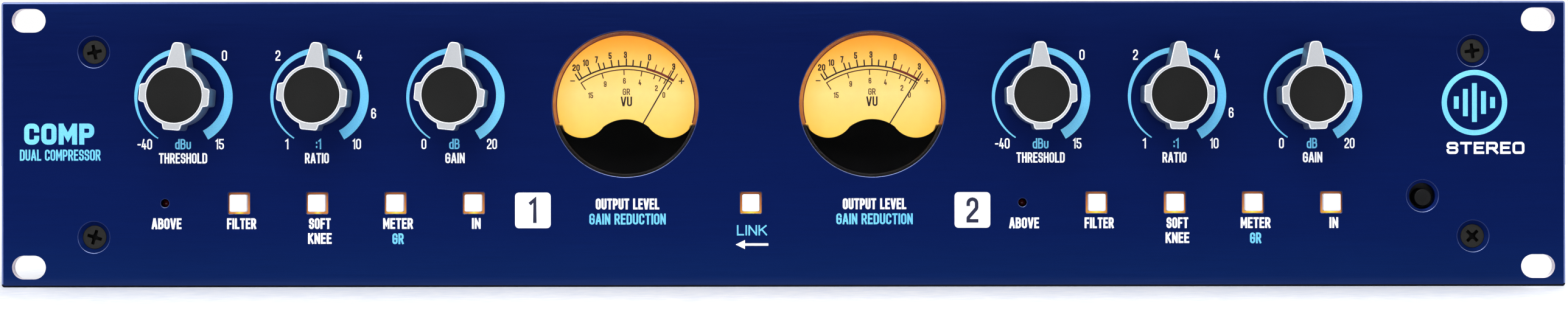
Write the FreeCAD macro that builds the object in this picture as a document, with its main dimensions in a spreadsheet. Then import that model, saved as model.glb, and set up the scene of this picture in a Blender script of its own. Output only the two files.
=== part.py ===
import FreeCAD, Part
import math
import os
import re
import Sketcher

# A two-channel audio compressor in a 2U, 19-inch rack case.
# +X is to the right seen from the front, +Y goes from the front panel to the rear, +Z is up.
# The origin is the centre of the four rack slots, on the panel's rear face, so the panel lies
# in front of y = 0 and the case behind it.

SIZES = {
    # Front panel, to the 19-inch rack standard
    "panel_width": 482.6,
    "panel_height": 88.1,
    "panel_thickness": 4.76,
    "panel_edge_round": 0.6,
    "slot_spacing_across": 465.1,
    "slot_spacing_up": 76.2,
    "slot_length": 10.3,
    "slot_width": 7.1,
    # Channel layout: everything of channel 2 stands one channel_pitch to the right of channel 1
    "channel_pitch": 264.55,
    # Knobs
    "first_knob_x": -185.7,
    "knob_pitch": 41.95,
    "knob_z": 15.1,
    "knob_standoff": 1.0,
    "knob_depth": 12.7,
    "knob_radius": 9.5,
    "lobe_reach": 10.74,
    "lobe_base_width": 10.0,
    "lobe_tip_width": 5.2,
    "pointer_reach": 16.15,
    "pointer_base_width": 10.3,
    "pointer_tip_width": 3.2,
    "lobe_corner_round": 0.8,
    "pointer_corner_round": 1.3,
    "lobe_root_round": 0.4,
    "knob_edge_chamfer": 0.3,
    "knob_back_radius": 6.6,
    "knob_back_depth": 3.3,
    "cap_radius": 8.4,
    "cap_gap": 0.08,
    "cap_thickness": 1.0,
    "cap_recess_depth": 1.1,
    "set_screw_radius": 1.55,
    # Potentiometers
    "shaft_radius": 3.0,
    "shaft_clearance": 0.03,
    "shaft_tip_depth": 3.0,
    "shaft_inner_end": 6.0,
    "shaft_end_gap": 0.2,
    "bushing_radius": 3.5,
    "bushing_proud": 3.0,
    "bushing_hole_gap": 0.12,
    "pot_nut_flats": 10.0,
    "pot_nut_thickness": 2.0,
    "pot_radius": 8.2,
    "pot_depth": 9.5,
    "pot_pin_pitch": 5.0,
    "pot_pin_drop": 5.0,
    "pot_pin_width": 1.0,
    "pot_pin_thickness": 0.6,
    # Push buttons
    "first_button_x": -167.95,
    "button_pitch": 24.13,
    "link_button_x": -10.05,
    "button_z": -18.1,
    "button_side": 5.3,
    "button_corner": 0.5,
    "button_proud": 1.9,
    "button_front_round": 0.25,
    "button_inner_face": -1.5,
    "button_hole_side": 6.65,
    "stem_side": 3.0,
    "stem_end": 8.5,
    "switch_side": 8.0,
    "switch_front": 4.0,
    "switch_bore_side": 3.4,
    "switch_bore_end": 11.0,
    # Power button
    "power_hole_x": 197.15,
    "power_hole_z": -16.2,
    "power_hole_radius": 4.05,
    "power_hole_chamfer": 0.85,
    "power_button_radius": 2.6,
    "power_button_shift_x": 0.25,
    "power_button_shift_z": -0.45,
    "power_button_recess": 0.9,
    "power_button_end": 8.0,
    "power_button_chamfer": 0.3,
    "power_switch_side": 13.0,
    "power_switch_front": 3.0,
    "power_switch_back": 18.0,
    "power_bore_radius": 2.75,
    "power_bore_end": 12.0,
    # Panel screws
    "panel_screw_x": 212.75,
    "panel_screw_z": 28.6,
    "panel_screw_hole": 4.4,
    "countersink_width": 9.7,
    "countersink_angle": 82.0,
    "screw_head_radius": 3.7,
    "screw_head_sunk": 1.3,
    "screw_shank_radius": 2.0,
    "screw_shank_end": 8.0,
    "cross_recess_width": 0.95,
    "cross_recess_span": 4.3,
    "cross_recess_depth": 1.5,
    # Indicator lamps
    "lamp_x": -190.8,
    "lamp_hole_radius": 1.35,
    "lamp_radius": 1.25,
    "lamp_tip": -2.6,
    "lamp_base": 3.0,
    "lamp_leg_spread": 0.6,
    "lamp_leg_side": 0.4,
    "lamp_leg_rooted": 0.5,
    "button_lamp_radius": 0.9,
    "button_lamp_drop": 2.75,
    "button_lamp_front": 1.0,
    # Meters
    "first_meter_x": -48.7,
    "meter_pitch": 76.2,
    "meter_z": 12.4,
    "meter_window_radius": 22.55,
    "lens_radius": 22.45,
    "lens_bore_radius": 21.6,
    "lens_sunk": 0.35,
    "lens_thickness": 1.4,
    "lens_edge_round": 0.7,
    "meter_radius": 23.75,
    "meter_flange": 1.0,
    "meter_wall": 1.25,
    "meter_depth": 28.0,
    "meter_back_wall": 1.5,
    "mask_radius": 21.4,
    "mask_front": -1.6,
    "mask_thickness": 0.8,
    "mask_side_x": 20.4,
    "mask_side_z": -6.0,
    "mask_dip_x": 13.1,
    "mask_dip_z": -10.4,
    "mask_bump_x": 7.0,
    "mask_bump_side_z": -7.0,
    "mask_bump_z": -4.64,
    "dial_radius": 22.45,
    "dial_front": 2.0,
    "dial_thickness": 1.0,
    "dial_staff_hole": 2.5,
    "pivot_drop": 15.0,
    "needle_length": 29.5,
    "needle_tail": 5.5,
    "needle_width": 0.4,
    "needle_front": 0.3,
    "needle_thickness": 0.25,
    "hub_radius": 2.0,
    "hub_front": 0.0,
    "hub_thickness": 1.0,
    "staff_radius": 0.5,
    "staff_front": -0.3,
    "staff_end": 10.0,
    "core_radius": 6.0,
    "core_front": 4.0,
    "core_bore_end": 11.0,
    # Control board behind the panel
    "board_thickness": 1.6,
    "control_board_front": 12.0,
    "control_board_width": 424.0,
    "control_board_height": 78.0,
    "control_board_meter_hole": 23.95,
    "power_switch_cutout": 14.0,
    # Case
    "case_width": 434.0,
    "case_height": 86.4,
    "case_depth": 230.0,
    "sheet_thickness": 1.5,
    "front_tab_width": 14.0,
    "cover_lip_height": 11.0,
    "cover_lip_inset": 4.0,
    "lip_gap": 0.1,
    "vent_width": 3.2,
    "vent_length": 42.0,
    "vent_pitch": 9.5,
    "vent_count": 14,
    "vent_first_x": -61.75,
    "vent_front_row_y": 62.0,
    "vent_rear_row_y": 136.0,
    "case_screw_hole_radius": 1.55,
    "case_screw_radius": 1.5,
    "case_screw_length": 6.0,
    "case_screw_head_radius": 2.8,
    "case_screw_head_height": 2.0,
    "case_screw_recess_span": 2.8,
    "case_screw_recess_width": 0.8,
    "case_screw_recess_depth": 1.0,
    "cover_screw_z": 36.2,
    "cover_screw_first_y": 30.0,
    "cover_screw_pitch": 85.0,
    # Rear connectors
    "audio_input_x": -185.0,
    "audio_output_x": -150.0,
    "sidechain_x": -118.0,
    "rear_channel_pitch": 125.0,
    "connector_z": 0.0,
    "connector_flange_width": 26.0,
    "connector_flange_height": 31.0,
    "connector_flange_thickness": 2.2,
    "connector_body_radius": 11.8,
    "connector_body_depth": 18.0,
    "connector_hole_radius": 12.0,
    "connector_screw_x": 9.5,
    "connector_screw_z": 12.0,
    "socket_rim_radius": 10.4,
    "socket_rim_proud": 2.0,
    "socket_groove_radius": 9.6,
    "socket_core_radius": 7.75,
    "socket_groove_depth": 12.0,
    "contact_hole_radius": 1.3,
    "contact_circle": 4.1,
    "contact_z_shift": 1.0,
    "plug_cup_radius": 7.9,
    "plug_cup_depth": 13.0,
    "plug_pin_radius": 1.2,
    "plug_pin_length": 11.0,
    "plug_pin_row_z": -1.0,
    "latch_width": 5.0,
    "latch_height": 3.0,
    "latch_proud": 3.2,
    "latch_z": 12.4,
    "latch_slot_gap": 0.3,
    "latch_depth": 1.9,
    "jack_bore_radius": 3.25,
    "jack_bore_depth": 28.0,
    "jack_thread_radius": 4.75,
    "jack_proud": 3.5,
    "jack_hole_radius": 4.9,
    "jack_nut_flats": 12.7,
    "jack_nut_thickness": 2.4,
    "jack_body_side": 15.0,
    "jack_body_depth": 30.0,
    # Mains inlet with fuse drawer
    "inlet_x": 180.0,
    "inlet_z": 0.0,
    "inlet_flange_width": 50.0,
    "inlet_flange_height": 48.0,
    "inlet_flange_thickness": 3.0,
    "inlet_body_width": 28.0,
    "inlet_body_height": 45.0,
    "inlet_body_depth": 24.0,
    "inlet_hole_gap": 0.2,
    "inlet_screw_x": 20.0,
    "inlet_recess_width": 24.2,
    "inlet_recess_height": 16.4,
    "inlet_recess_depth": 17.0,
    "inlet_recess_z": 7.5,
    "blade_width": 2.0,
    "blade_height": 4.0,
    "blade_length": 15.0,
    "blade_spread": 7.0,
    "blade_offset": 2.0,
    "drawer_width": 22.0,
    "drawer_height": 9.0,
    "drawer_depth": 23.0,
    "drawer_z": -12.5,
    "drawer_gap": 0.3,
    "drawer_end_wall": 1.0,
    "drawer_face_thickness": 1.6,
    "drawer_face_margin": 1.2,
    "fuse_radius": 2.6,
    "fuse_length": 20.0,
    "fuse_gap": 0.2,
    # Inside the case
    "main_board_low_x": -206.0,
    "main_board_high_x": 100.0,
    "main_board_low_y": 34.0,
    "main_board_high_y": 198.0,
    "main_board_z": -33.0,
    "standoff_radius": 3.0,
    "standoff_inset": 8.0,
    "transformer_x": 150.0,
    "transformer_y": 95.0,
    "core_length": 66.0,
    "core_stack": 32.0,
    "core_height": 55.0,
    "core_limb": 11.0,
    "winding_bulge": 11.0,
    "winding_gap": 0.2,
    "capacitor_x": 70.0,
    "capacitor_first_y": 70.0,
    "capacitor_pitch": 28.0,
    "capacitor_radius": 9.0,
    "capacitor_height": 22.0,
    "heat_sink_x": 30.0,
    "heat_sink_first_y": 62.0,
    "heat_sink_pitch": 34.0,
    "heat_sink_width": 30.0,
    "heat_sink_depth": 12.0,
    "heat_sink_height": 20.0,
    "chip_first_x": -190.0,
    "chip_pitch": 18.0,
    "chip_group_pitch": 112.0,
    "chip_y": 110.0,
    "chip_width": 7.0,
    "chip_depth": 10.0,
    "chip_height": 4.0,
    "coupling_capacitor_y": 140.0,
    "coupling_capacitor_radius": 3.2,
    "coupling_capacitor_height": 11.0,
    # How far a tool passes the face it cuts, or a fused piece reaches into the next one
    "overlap": 1.0,
    # Round a screw or a thread in its hole
    "thread_gap": 0.05,
}

XZ = "XZ_Plane"
XY = "XY_Plane"
ABOUT_Y = FreeCAD.Vector(0, 1, 0)

doc = FreeCAD.newDocument("RackCompressor")
sheet = doc.addObject("Spreadsheet::Sheet", "Sizes")
for row, (alias, value) in enumerate(SIZES.items(), start=1):
    sheet.set(f"A{row}", alias)
    sheet.set(f"B{row}", str(value))
    sheet.setAlias(f"B{row}", alias)
doc.recompute()

subparts = {}


# ---------------------------------------------------------------- helpers

def sized(expression):
    """The expression with each size's name looked up in the sheet."""
    def looked_up(word):
        return "Sizes." + word.group() if word.group() in SIZES else word.group()
    return re.sub(r"[a-z]\w*", looked_up, str(expression))


def number(expression):
    """What an expression of the sheet's names comes to now."""
    return float(sheet.evalExpression(str(expression)))


def bind(target, path, expression):
    """Tie a property to the sheet."""
    target.setExpression(path, sized(expression))


def place(target, x=0, y=0, z=0, angle=None, axis=ABOUT_Y):
    """Put an object where the sheet says, turned about an axis if an angle is given."""
    if angle is not None:
        target.Placement = FreeCAD.Placement(FreeCAD.Vector(), FreeCAD.Rotation(axis, 1))
        bind(target, "Placement.Rotation.Angle", angle)
    bind(target, "Placement.Base.x", x)
    bind(target, "Placement.Base.y", y)
    bind(target, "Placement.Base.z", z)
    return target


def named(label, target):
    """Take an object as the finished sub-part of that name."""
    target.Label = label
    subparts[label] = target
    return target


def block(name, x, width, low_y, high_y, z, height):
    """A box centred on x and z, from low_y to high_y."""
    box = doc.addObject("Part::Box", name)
    bind(box, "Length", width)
    bind(box, "Width", f"{high_y} - ({low_y})")
    bind(box, "Height", height)
    return place(box, f"{x} - ({width}) / 2", low_y, f"{z} - ({height}) / 2")


def cylinder(name, radius, height):
    """A cylinder standing on the origin."""
    rod = doc.addObject("Part::Cylinder", name)
    bind(rod, "Radius", radius)
    bind(rod, "Height", height)
    return rod


def rod(name, x, z, radius, low_y, high_y):
    """A cylinder along Y."""
    return place(cylinder(name, radius, f"{high_y} - ({low_y})"), x, low_y, z, -90, FreeCAD.Vector(1, 0, 0))


def hex_nut(name, x, z, flats, bore, low_y, high_y):
    """A hexagonal nut with its axis along Y."""
    prism = doc.addObject("Part::Prism", name + "_hex")
    prism.Polygon = 6
    bind(prism, "Circumradius", f"({flats}) / 2 / cos(30)")
    bind(prism, "Height", f"{high_y} - ({low_y})")
    place(prism, x, low_y, z, -90, FreeCAD.Vector(1, 0, 0))
    return cut(name, prism, [rod(name + "_bore", x, z, bore, low_y, high_y)])


def fuse(name, pieces):
    """Pieces made into one solid."""
    joined = doc.addObject("Part::MultiFuse", name)
    joined.Shapes = pieces
    joined.Refine = True
    return joined


def cut(name, base, tools):
    """A piece with others taken out of it."""
    carved = doc.addObject("Part::Cut", name)
    carved.Base = base
    carved.Tool = tools[0] if len(tools) == 1 else group(name + "_tools", tools)
    return carved


def group(name, pieces):
    """Separate solids kept as one node."""
    together = doc.addObject("Part::Compound", name)
    together.Links = pieces
    return together


def edges_where(feature, test):
    """The names of a feature's edges that pass a test."""
    return [f"Edge{n}" for n, edge in enumerate(feature.Shape.Edges, start=1) if test(edge)]


def lies_at(edge, y):
    """Whether all of an edge lies at this y."""
    box = edge.BoundBox
    return abs(box.YMin - y) < 1e-4 and abs(box.YMax - y) < 1e-4


def runs_along_y(edge):
    """Whether an edge is a straight line along Y."""
    box = edge.BoundBox
    return box.YLength > 0.5 and max(box.XLength, box.ZLength) < 1e-4


class Body:
    """A PartDesign body, with each feature it uses in one call.

    A sketch on XZ has X across and Z up and stands at a level along Y; one on XY has X across
    and Y up the sheet and stands at a level along Z.
    """

    def __init__(self, label):
        self.body = doc.addObject("PartDesign::Body", label)
        named(label, self.body)

    def origin(self, role):
        return next(item for item in self.body.Origin.OriginFeatures if item.Role == role)

    def sketch(self, plane, level=0):
        drawn = self.body.newObject("Sketcher::SketchObject", self.body.Name + "_sketch")
        drawn.AttachmentSupport = (self.origin(plane), [""])
        drawn.MapMode = "FlatFace"
        toward = "-" if plane == XZ else ""
        bind(drawn, "AttachmentOffset.Base.z", f"{toward}({level})")
        return drawn

    def feature(self, kind, sketch, length, carve=False):
        before = self.volume()
        made = self.body.newObject("PartDesign::" + kind, self.body.Name + "_" + kind.lower())
        made.Profile = sketch
        made.Reversed = False
        bind(made, "Length", length)
        sketch.Visibility = False
        doc.recompute()
        if carve and not self.volume() < before - 1e-3:
            raise ValueError(f"{made.Name} cuts nothing")
        return made

    def volume(self):
        return self.body.Shape.Volume if self.body.Tip else 0.0

    def pad(self, sketch, length):
        """From the sketch towards -Y on XZ, and towards +Z on XY."""
        return self.feature("Pad", sketch, length)

    def pocket(self, sketch, length):
        """From the sketch towards +Y on XZ, and towards -Z on XY."""
        return self.feature("Pocket", sketch, length, carve=True)

    def revolve(self, sketch):
        """A full turn about the sketch's upright axis."""
        made = self.body.newObject("PartDesign::Revolution", self.body.Name + "_revolution")
        made.Profile = sketch
        made.ReferenceAxis = (sketch, ["V_Axis"])
        made.Angle = 360
        doc.recompute()
        return made

    def dress(self, kind, size, edges):
        """Fillet or chamfer edges of the body as it stands."""
        base = self.body.Tip
        made = self.body.newObject("PartDesign::" + kind, self.body.Name + "_" + kind.lower())
        made.Base = (base, edges)
        bind(made, "Radius" if kind == "Fillet" else "Size", size)
        doc.recompute()
        return made

    def pattern(self, kind, feature, axis, **settings):
        """Repeat a feature, and make the result the body's tip."""
        made = self.body.newObject("PartDesign::" + kind, self.body.Name + "_pattern")
        made.Originals = [feature]
        setattr(made, "Axis" if kind == "PolarPattern" else "Direction", (self.origin(axis), [""]))
        for name, expression in settings.items():
            bind(made, name, expression)
        self.body.Tip = made
        doc.recompute()
        return made


def spot(x, y):
    """A point of a sketch at two sizes from its origin."""
    return FreeCAD.Vector(number(x), number(y), 0)


def end_at(sketch, geometry, place):
    """Which end of a line or arc, 1 or 2, lies at a place."""
    return 1 if sketch.getPoint(geometry, 1).distanceToPoint(spot(*place)) < 1e-6 else 2


def pin_point(sketch, geometry, end, x, y):
    """Fix a point of a sketch at two sizes from its origin."""
    for kind, value in (("DistanceX", x), ("DistanceY", y)):
        index = sketch.addConstraint(Sketcher.Constraint(kind, -1, 1, geometry, end, number(value)))
        bind(sketch, f"Constraints[{index}]", value)


def outline(sketch, points):
    """A closed outline with each corner fixed by the sheet."""
    places = [spot(x, y) for x, y in points]
    first = sketch.GeometryCount
    for n, start in enumerate(places):
        sketch.addGeometry(Part.LineSegment(start, places[(n + 1) % len(places)]))
    for n, (x, y) in enumerate(points):
        ahead = first + (n + 1) % len(points)
        sketch.addConstraint(Sketcher.Constraint("Coincident", first + n, 2, ahead, 1))
        pin_point(sketch, first + n, 1, x, y)


def rectangle(sketch, x, y, width, height):
    """A rectangle about a centre."""
    left, right = f"{x} - ({width}) / 2", f"{x} + ({width}) / 2"
    low, high = f"{y} - ({height}) / 2", f"{y} + ({height}) / 2"
    outline(sketch, [(left, low), (right, low), (right, high), (left, high)])


def circle(sketch, x, y, radius):
    """A circle about a centre."""
    shape = Part.Circle(spot(x, y), FreeCAD.Vector(0, 0, 1), number(radius))
    drawn = sketch.addGeometry(shape)
    pin_point(sketch, drawn, 3, x, y)
    index = sketch.addConstraint(Sketcher.Constraint("Radius", drawn, number(radius)))
    bind(sketch, f"Constraints[{index}]", radius)


def slot(sketch, x, y, length, width):
    """A slot along X: two straight sides and two half-circle ends."""
    reach = f"(({length}) - ({width})) / 2"
    radius = f"({width}) / 2"
    left, right = f"{x} - {reach}", f"{x} + {reach}"
    low, high = f"{y} - {radius}", f"{y} + {radius}"
    corners = [(left, low), (right, low), (right, high), (left, high)]
    places = [spot(px, py) for px, py in corners]
    bulge = spot(radius, radius)
    first = sketch.GeometryCount
    sketch.addGeometry(Part.LineSegment(places[0], places[1]))
    sketch.addGeometry(Part.Arc(places[1], places[1] + bulge, places[2]))
    sketch.addGeometry(Part.LineSegment(places[2], places[3]))
    sketch.addGeometry(Part.Arc(places[3], places[3] - bulge, places[0]))
    for n, (px, py) in enumerate(corners):
        sketch.addConstraint(Sketcher.Constraint("Coincident", first + n, 2, first + (n + 1) % 4, 1))
        pin_point(sketch, first + n, 1, px, py)
    for arc, centre_x in ((first + 1, right), (first + 3, left)):
        index = sketch.addConstraint(Sketcher.Constraint("DistanceX", -1, 1, arc, 3, number(centre_x)))
        bind(sketch, f"Constraints[{index}]", centre_x)


def turned(label, profile):
    """A body turned about the Y axis from (radius, y) corners."""
    body = Body(label)
    sketch = body.sketch(XY)
    outline(sketch, profile)
    body.revolve(sketch)
    return body


# ---------------------------------------------------------------- places

KNOBS = ("threshold", "ratio", "gain")
BUTTONS = ("filter", "knee", "meter", "in")
CHANNELS = (1, 2)

# How far each knob and each meter needle is turned clockwise from 12 o'clock at rest.
REST_ANGLES = {
    ("threshold", 1): 4.7, ("ratio", 1): 5.5, ("gain", 1): 5.8,
    ("threshold", 2): -1.9, ("ratio", 2): 0.9, ("gain", 2): -1.8,
    ("needle", 1): 30.0, ("needle", 2): 31.5,
}

FRONT = "-panel_thickness"
KNOB_PLACES = {
    (name, channel): f"first_knob_x + {column} * knob_pitch + {channel - 1} * channel_pitch"
    for column, name in enumerate(KNOBS) for channel in CHANNELS
}
BUTTON_PLACES = {
    f"{name}_button_{channel}": f"first_button_x + {column} * button_pitch + {channel - 1} * channel_pitch"
    for column, name in enumerate(BUTTONS) for channel in CHANNELS
}
BUTTON_PLACES["link_button"] = "link_button_x"
METER_PLACES = {channel: f"first_meter_x + {channel - 1} * meter_pitch" for channel in CHANNELS}
LAMP_PLACES = {channel: f"lamp_x + {channel - 1} * channel_pitch" for channel in CHANNELS}
POWER_X = "power_hole_x + power_button_shift_x"
POWER_Z = "power_hole_z + power_button_shift_z"
CORNERS = [(across, up) for across in (-1, 1) for up in (-1, 1)]
REAR_SHIFTS = {channel: f"{channel - 1} * rear_channel_pitch" for channel in CHANNELS}
CHIPS_PER_CHANNEL = 6
COVER_SCREWS_PER_SIDE = 3


# ---------------------------------------------------------------- front panel

def front_panel():
    body = Body("front_panel")
    plate = body.sketch(XZ)
    rectangle(plate, 0, 0, "panel_width", "panel_height")
    body.pad(plate, "panel_thickness")
    body.dress("Fillet", "panel_edge_round",
               edges_where(body.body, lambda edge: lies_at(edge, number(FRONT))))

    openings = body.sketch(XZ, FRONT)
    for across, up in CORNERS:
        slot(openings, f"{across} * slot_spacing_across / 2", f"{up} * slot_spacing_up / 2",
             "slot_length", "slot_width")
    for x in KNOB_PLACES.values():
        circle(openings, x, "knob_z", "bushing_radius + bushing_hole_gap")
    for x in BUTTON_PLACES.values():
        rectangle(openings, x, "button_z", "button_hole_side", "button_hole_side")
    for x in METER_PLACES.values():
        circle(openings, x, "meter_z", "meter_window_radius")
    for x in LAMP_PLACES.values():
        circle(openings, x, "button_z", "lamp_hole_radius")
    circle(openings, "power_hole_x", "power_hole_z", "power_hole_radius")
    body.pocket(openings, "panel_thickness")

    rim = edges_where(body.body, lambda edge: lies_at(edge, number(FRONT)) and hasattr(edge.Curve, "Radius")
                      and abs(edge.Curve.Radius - number("power_hole_radius")) < 1e-4)
    body.dress("Chamfer", "power_hole_chamfer", rim)

    places = body.sketch(XZ, FRONT)
    for across, up in CORNERS:
        circle(places, f"{across} * panel_screw_x", f"{up} * panel_screw_z", "panel_screw_hole / 2")
    doc.recompute()
    before = body.volume()
    holes = body.body.newObject("PartDesign::Hole", "front_panel_screw_holes")
    holes.Profile = places
    holes.ThreadType = "None"
    holes.HoleCutType = "Countersink"
    holes.HoleCutCustomValues = True
    holes.DepthType = "ThroughAll"
    bind(holes, "Diameter", "panel_screw_hole")
    bind(holes, "HoleCutDiameter", "countersink_width")
    bind(holes, "HoleCutCountersinkAngle", "countersink_angle")
    doc.recompute()
    if not body.volume() < before - 1:
        raise ValueError("the panel's screw holes cut nothing")


def panel_screws():
    screws = []
    for n, (across, up) in enumerate(CORNERS, start=1):
        name = f"panel_screw_{n}"
        x, z = f"{across} * panel_screw_x", f"{up} * panel_screw_z"
        top = "screw_head_sunk - panel_thickness"
        head_depth = "(screw_head_radius - screw_shank_radius) / tan(countersink_angle / 2)"
        head = doc.addObject("Part::Cone", name + "_head")
        bind(head, "Radius1", "screw_head_radius")
        bind(head, "Radius2", "screw_shank_radius")
        bind(head, "Height", head_depth)
        place(head, x, top, z, -90, FreeCAD.Vector(1, 0, 0))
        shank = rod(name + "_shank", x, z, "screw_shank_radius", f"{top} + {head_depth}", "screw_shank_end")
        bottom = f"{top} + cross_recess_depth"
        bars = [block(name + "_slot_across", x, "cross_recess_span", top, bottom, z, "cross_recess_width"),
                block(name + "_slot_up", x, "cross_recess_width", top, bottom, z, "cross_recess_span")]
        screws.append(cut(name, fuse(name + "_blank", [head, shank]), bars))
    named("panel_screws", group("panel_screws", screws))


# ---------------------------------------------------------------- knobs and potentiometers

def knob(name, channel):
    """Collar with three short lobes and a long pointer, one profile over its whole depth."""
    label = f"{name}_knob_{channel}"
    body = Body(label)
    back = "-panel_thickness - knob_standoff"
    face = f"({back} - knob_depth)"
    collar = body.sketch(XZ, back)
    circle(collar, 0, 0, "knob_radius")
    body.pad(collar, "knob_depth")

    lobe = body.sketch(XZ, back)
    outline(lobe, [(0, "-lobe_base_width / 2"), ("lobe_reach", "-lobe_tip_width / 2"),
                   ("lobe_reach", "lobe_tip_width / 2"), (0, "lobe_base_width / 2")])
    first_lobe = body.pad(lobe, "knob_depth")
    body.pattern("PolarPattern", first_lobe, "Y_Axis", Angle=180, Occurrences=3)

    pointer = body.sketch(XZ, back)
    outline(pointer, [("-pointer_base_width / 2", 0), ("pointer_base_width / 2", 0),
                      ("pointer_tip_width / 2", "pointer_reach"),
                      ("-pointer_tip_width / 2", "pointer_reach")])
    body.pad(pointer, "knob_depth")

    def edges_at(low, high):
        def within(edge):
            box = edge.BoundBox
            return runs_along_y(edge) and low < math.hypot(box.XMin, box.ZMin) < high
        return edges_where(body.body, within)

    near_collar = number("lobe_root_round")
    collar_edge = number("knob_radius")
    between = number("lobe_reach") + 1
    body.dress("Fillet", "lobe_corner_round", edges_at(collar_edge + near_collar, between))
    body.dress("Fillet", "pointer_corner_round", edges_at(between, math.inf))
    body.dress("Fillet", "lobe_root_round", edges_at(collar_edge - near_collar, collar_edge + near_collar))
    body.dress("Chamfer", "knob_edge_chamfer",
               edges_where(body.body, lambda edge: lies_at(edge, number(face))))

    recess = body.sketch(XZ, face)
    circle(recess, 0, 0, "cap_radius + cap_gap")
    body.pocket(recess, "cap_recess_depth")
    bore = body.sketch(XZ, f"{face} + shaft_tip_depth")
    circle(bore, 0, 0, "shaft_radius + shaft_clearance")
    body.pocket(bore, "knob_depth")
    hollow = body.sketch(XZ, f"{back} - knob_back_depth")
    circle(hollow, 0, 0, "knob_back_radius")
    body.pocket(hollow, "knob_back_depth")
    screw = body.sketch(XY, "-shaft_radius")
    circle(screw, 0, f"{back} - knob_depth / 2", "set_screw_radius")
    body.pocket(screw, "lobe_reach")
    return body


def knob_cap(name, channel):
    """A thin disc let into the knob's face."""
    face = "(-panel_thickness - knob_standoff - knob_depth)"
    back = f"{face} + cap_recess_depth"
    front = f"{back} - cap_thickness"
    return turned(f"{name}_cap_{channel}",
                  [(0, back), ("cap_radius", back), ("cap_radius", front), (0, front)])


def pot_shaft(name, channel):
    tip = "shaft_tip_depth + shaft_end_gap - panel_thickness - knob_standoff - knob_depth"
    return turned(f"{name}_shaft_{channel}", [(0, tip), ("shaft_radius", tip),
                  ("shaft_radius", "shaft_inner_end"), (0, "shaft_inner_end")])


def knobs():
    for (name, channel), x in KNOB_PLACES.items():
        for piece in (knob(name, channel), knob_cap(name, channel), pot_shaft(name, channel)):
            place(piece.body, x, 0, "knob_z", REST_ANGLES[name, channel])


def pots():
    """Potentiometers with their pins, each held to the panel by a nut on its bushing."""
    made = []
    for (name, channel), x in KNOB_PLACES.items():
        key = f"{name}_{channel}"
        front = "-panel_thickness - bushing_proud"
        pins = [block(f"pot_pin_{key}_{n}", f"{x} + {n} * pot_pin_pitch", "pot_pin_width",
                      "pot_depth - overlap", "control_board_front", "knob_z - pot_pin_drop",
                      "pot_pin_thickness") for n in (-1, 0, 1)]
        blank = fuse(f"pot_blank_{key}", [
            rod(f"pot_case_{key}", x, "knob_z", "pot_radius", 0, "pot_depth"),
            rod(f"pot_bushing_{key}", x, "knob_z", "bushing_radius", front, "overlap"), *pins])
        bore = rod(f"pot_bore_{key}", x, "knob_z", "shaft_radius + shaft_clearance", front,
                   "shaft_inner_end + 2 * shaft_end_gap")
        made.append(cut(f"pot_{key}", blank, [bore]))
        made.append(hex_nut(f"pot_nut_{key}", x, "knob_z", "pot_nut_flats", "bushing_radius + thread_gap",
                            "-panel_thickness - pot_nut_thickness", FRONT))
    named("potentiometers", group("potentiometers", made))


# ---------------------------------------------------------------- buttons and lamps

def button(label, x):
    """A square cap with its stem, which pushes straight into the switch."""
    body = Body(label)
    cap = body.sketch(XZ, "button_inner_face")
    rectangle(cap, 0, 0, "button_side", "button_side")
    body.pad(cap, "button_inner_face + panel_thickness + button_proud")
    body.dress("Fillet", "button_corner", edges_where(body.body, runs_along_y))
    front = number("-panel_thickness - button_proud")
    body.dress("Fillet", "button_front_round", edges_where(body.body, lambda edge: lies_at(edge, front)))
    stem = body.sketch(XZ, "stem_end")
    rectangle(stem, 0, 0, "stem_side", "stem_side")
    body.pad(stem, "stem_end - button_inner_face")
    place(body.body, x, 0, "button_z")


def switches():
    made = []
    for label, x in BUTTON_PLACES.items():
        case = block(f"{label}_switch_case", x, "switch_side", "switch_front", "control_board_front",
                     "button_z", "switch_side")
        bore = block(f"{label}_switch_bore", x, "switch_bore_side", "switch_front", "switch_bore_end",
                     "button_z", "switch_bore_side")
        made.append(cut(f"{label}_switch", case, [bore]))
    named("push_switches", group("push_switches", made + [power_switch()]))


def power_switch():
    front = "power_button_recess - panel_thickness"
    button_body = turned("power_button", [
        (0, front), ("power_button_radius - power_button_chamfer", front),
        ("power_button_radius", f"{front} + power_button_chamfer"),
        ("power_button_radius", "power_button_end"), (0, "power_button_end")])
    place(button_body.body, POWER_X, 0, POWER_Z)
    case = block("power_switch_case", POWER_X, "power_switch_side", "power_switch_front",
                 "power_switch_back", POWER_Z, "power_switch_side")
    bore = rod("power_switch_bore", POWER_X, POWER_Z, "power_bore_radius", "power_switch_front",
               "power_bore_end")
    return cut("power_switch", case, [bore])


def lamps():
    """Two panel lamps and the small lamp under each button, on their wire legs."""
    made = []
    for channel, x in LAMP_PLACES.items():
        dome = doc.addObject("Part::Sphere", f"lamp_dome_{channel}")
        bind(dome, "Radius", "lamp_radius")
        place(dome, x, "lamp_tip + lamp_radius", "button_z")
        legs = [block(f"lamp_leg_{channel}_{side}", f"{x} + {side} * lamp_leg_spread", "lamp_leg_side",
                      "lamp_base - lamp_leg_rooted", "control_board_front", "button_z", "lamp_leg_side")
                for side in (-1, 1)]
        made.append(fuse(f"lamp_{channel}", [
            dome, rod(f"lamp_case_{channel}", x, "button_z", "lamp_radius", "lamp_tip + lamp_radius",
                      "lamp_base"), *legs]))
    for label, x in BUTTON_PLACES.items():
        made.append(rod(f"{label}_lamp", x, "button_z - button_lamp_drop", "button_lamp_radius",
                        "button_lamp_front", "switch_front"))
    named("indicator_lamps", group("indicator_lamps", made))


# ---------------------------------------------------------------- meters

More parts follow.
